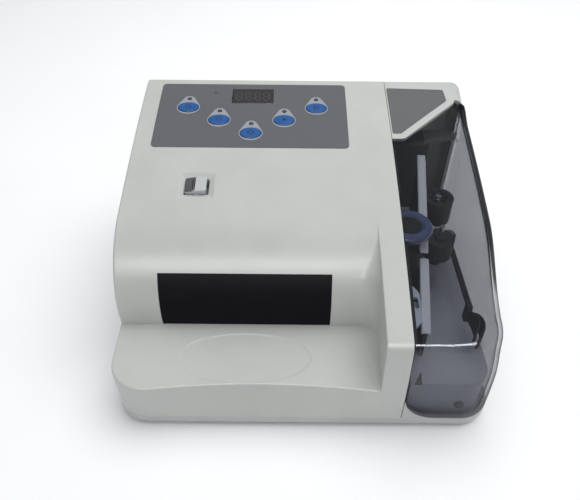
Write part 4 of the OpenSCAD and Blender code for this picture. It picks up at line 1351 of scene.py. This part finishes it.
# Looks by slot: 8-bit colour, then the arguments of the material's function in their order
MOULDED = {
    "cover_white": ((190, 191, 187), 0.40, 0.6, 0.22),
    "base_grey": ((184, 185, 184), 0.45, 0.6, 0.25),
    "label_grey": ((99, 100, 101), 0.5, 0.25, 0.12, 0.02, 18.0),
    "window_black": ((8, 7, 14), 0.5, 0.9, 0.12, 0.3, 6.0, 0.0, 0.08),
    "black_plastic": ((34, 34, 36), 0.42, 0.5, 0.3, 0.1),
    "panel_grey": ((94, 96, 98), 0.5, 0.25, 0.12, 0.02, 18.0),
    "key_white": ((150, 153, 160), 0.35, 0.4, 0.15),
    "key_blue": ((30, 84, 146), 0.32, 0.5, 0.15, 0.05, 8.0),
    "led_dark": ((70, 68, 72), 0.15, 0.6, 0.1, 0.15, 1.5, 0.4),
    "display_smoke": ((38, 32, 34), 0.12, 2.0, 0.03, 0.15, 12.0, 0.6),
    "display_body": ((50, 48, 48), 0.5, 0.5, 0.3),
    "chip_black": ((36, 36, 40), 0.55, 0.3, 0.4, 0.12, 4.0),
    "switch_grey": ((186, 189, 190), 0.34, 0.6, 0.2),
    # switch_dark also serves as painted shade on the rocker paddle's tilted half
    "switch_dark": ((84, 85, 86), 0.28, 0.6, 0.15, 0.1, 6.0),
    "cable_grey": ((165, 165, 160), 0.5, 1.2, 0.4, 0.08, 1.3),
    "lamp_glass": ((205, 208, 225), 0.08, 4.0, 0.02, 0.05, 12.0, 0.8),
    "reflector_white": ((214, 214, 208), 0.25, 0.8, 0.15),
    "floor_blue_grey": ((156, 160, 170), 0.48, 0.6, 0.3, 0.05),
    "guide_grey": ((204, 208, 216), 0.38, 0.5, 0.22, 0.04),
    "plate_grey": ((186, 195, 210), 0.36, 0.5, 0.22, 0.04),
    "sensor_black": ((26, 26, 30), 0.25, 0.5, 0.15, 0.15, 6.0),
    "pulley_white": ((208, 208, 198), 0.4, 0.5, 0.2),
    "knob_smoke_blue": ((70, 82, 122), 0.10, 2.0, 0.03, 0.08, 10.0, 0.9),
    "knob_black": ((14, 14, 16), 0.16, 0.8, 0.08, 0.2, 8.0, 0.5),
}
BRUSHED = {
    "screw_steel": ((190, 190, 186), 0.35, 0.1, (1, 1, 1)),
    "head_steel": ((168, 168, 162), 0.25, 0.12, (0.06, 1, 1)),
    "bush_brass": ((188, 158, 92), 0.35, 0.2),
    "motor_steel": ((176, 178, 180), 0.3, 0.12, (1, 1, 0.05)),
    "bracket_steel": ((186, 188, 190), 0.38, 0.15, (0.05, 1, 1)),
    "shaft_steel": ((200, 202, 204), 0.18, 0.1, (1, 1, 0.04)),
    "spring_steel": ((180, 182, 184), 0.25, 0.1, (1, 1, 0.1)),
    "magnet_grey": ((120, 120, 122), 0.4, 0.3, (1, 1, 1)),
}
RUBBER = {
    "foot_rubber": ((38, 38, 40),),
    "pad_rubber": ((42, 42, 44), 0.8, 0.8),
    "belt_rubber": ((28, 28, 28), 0.8, 0.5),
    "roller_rubber": ((44, 44, 46), 0.62, 0.4),
}
BOARD_GREEN = (38, 92, 56)
DOOR_TINT = (0.80, 0.803, 0.815, 1)
DOOR_DEEP = (0.02, 0.02, 0.022, 1)


def make_looks():
    """One material per slot."""
    made = {"board_green": circuit("board_green", srgb(*BOARD_GREEN)),
            "door_smoke": smoky("door_smoke", DOOR_TINT, DOOR_DEEP)}
    for kind, table in ((moulded, MOULDED), (brushed, BRUSHED), (rubber, RUBBER)):
        for name, (colour, *rest) in table.items():
            made[name] = kind(name, srgb(*colour), *rest)
    return made


def finish_nodes():
    """Every carried-over CAD node gets its slot's procedural finish."""
    made = make_looks()
    for part in frame["record"]["subparts"]:
        for s in frame["nodes"][part["node"]].material_slots:
            s.material = made[s.material.name.split(".")[0]]
    return made


# ---------- camera, floor and light ----------

CAMERA_AT = (-0.0092, -0.2878, 0.3174)
CAMERA_PITCH = math.radians(47.26)
CAMERA_ROLL = 0.0088
LENS_MM = 34.31
SENSOR_MM = 36.0
SKY = (0.93, 0.96, 1.0, 1)
SKY_POWER = 0.42
FLOOR_HALF = 3.0
FLOOR_TONES = ((0.3, 0.96), (0.7, 0.98))
# Name, place, aim, size, power, and the kind of ray that doesn't see it
LIGHTS = (
    ("overhead", (0.3, 0.3, 1.3), (0, 0.02, 0.05), (1.5, 1.2), 16.0, "glossy"),
    ("streak", (0.15, -0.98, 0.82), (0.08, -0.09, 0.07), (1.6, 0.22), 22.0, "diffuse"),
    ("front_strip", (-0.2, -1.1, 0.75), (0, 0, 0.08), (1.2, 0.35), 1.6, None),
)


def make_camera():
    data = bpy.data.cameras.new("camera")
    cam = bpy.data.objects.new("camera", data)
    bpy.context.scene.collection.objects.link(cam)
    data.lens = LENS_MM
    data.sensor_width = SENSOR_MM
    data.clip_start, data.clip_end = 0.01, 20.0
    turn = Matrix.Rotation(CAMERA_PITCH, 4, "X") @ Matrix.Rotation(CAMERA_ROLL, 4, "Z")
    cam.matrix_world = Matrix.Translation(CAMERA_AT) @ turn
    bpy.context.scene.camera = cam


def area_light(name, place, aim, size, power, unseen):
    data = bpy.data.lights.new(name, "AREA")
    data.shape = "RECTANGLE"
    data.size, data.size_y = size
    data.energy = power
    obj = bpy.data.objects.new(name, data)
    bpy.context.scene.collection.objects.link(obj)
    obj.location = place
    obj.rotation_euler = (Vector(aim) - Vector(place)).to_track_quat("-Z", "Y").to_euler()
    obj.visible_glossy = unseen != "glossy"
    obj.visible_diffuse = unseen != "diffuse"


def make_stage():
    """Pale floor, even sky and three area lights."""
    bm = bmesh.new()
    bmesh.ops.create_grid(bm, x_segments=24, y_segments=24, size=FLOOR_HALF)
    floor = piece("floor", bm)
    m, nt, sh, _ = new_material("floor")
    tones = ramp(nt, noise(nt, coords(nt), 120.0, 2.0), [(p, (g, g, g, 1)) for p, g in FLOOR_TONES])
    nt.links.new(tones, sh.inputs["Base Color"])
    sh.inputs["Roughness"].default_value = 0.9
    sh.inputs["Specular IOR Level"].default_value = 0.1
    floor.data.materials.append(m)
    world = bpy.data.worlds.new("studio")
    world.use_nodes = True
    world.node_tree.nodes["Background"].inputs["Color"].default_value = SKY
    world.node_tree.nodes["Background"].inputs["Strength"].default_value = SKY_POWER
    bpy.context.scene.world = world
    bpy.context.scene.view_settings.view_transform = "Standard"
    for light in LIGHTS:
        area_light(*light)


make_camera()
make_stage()
MATERIALS = finish_nodes()
for make in (make_door, make_main_cover, make_window, make_corner_cover, make_base, make_keys, make_lamps,
             make_display, make_rocker, make_switch, make_guide, make_triangle, make_bracket, make_fingers):
    make()
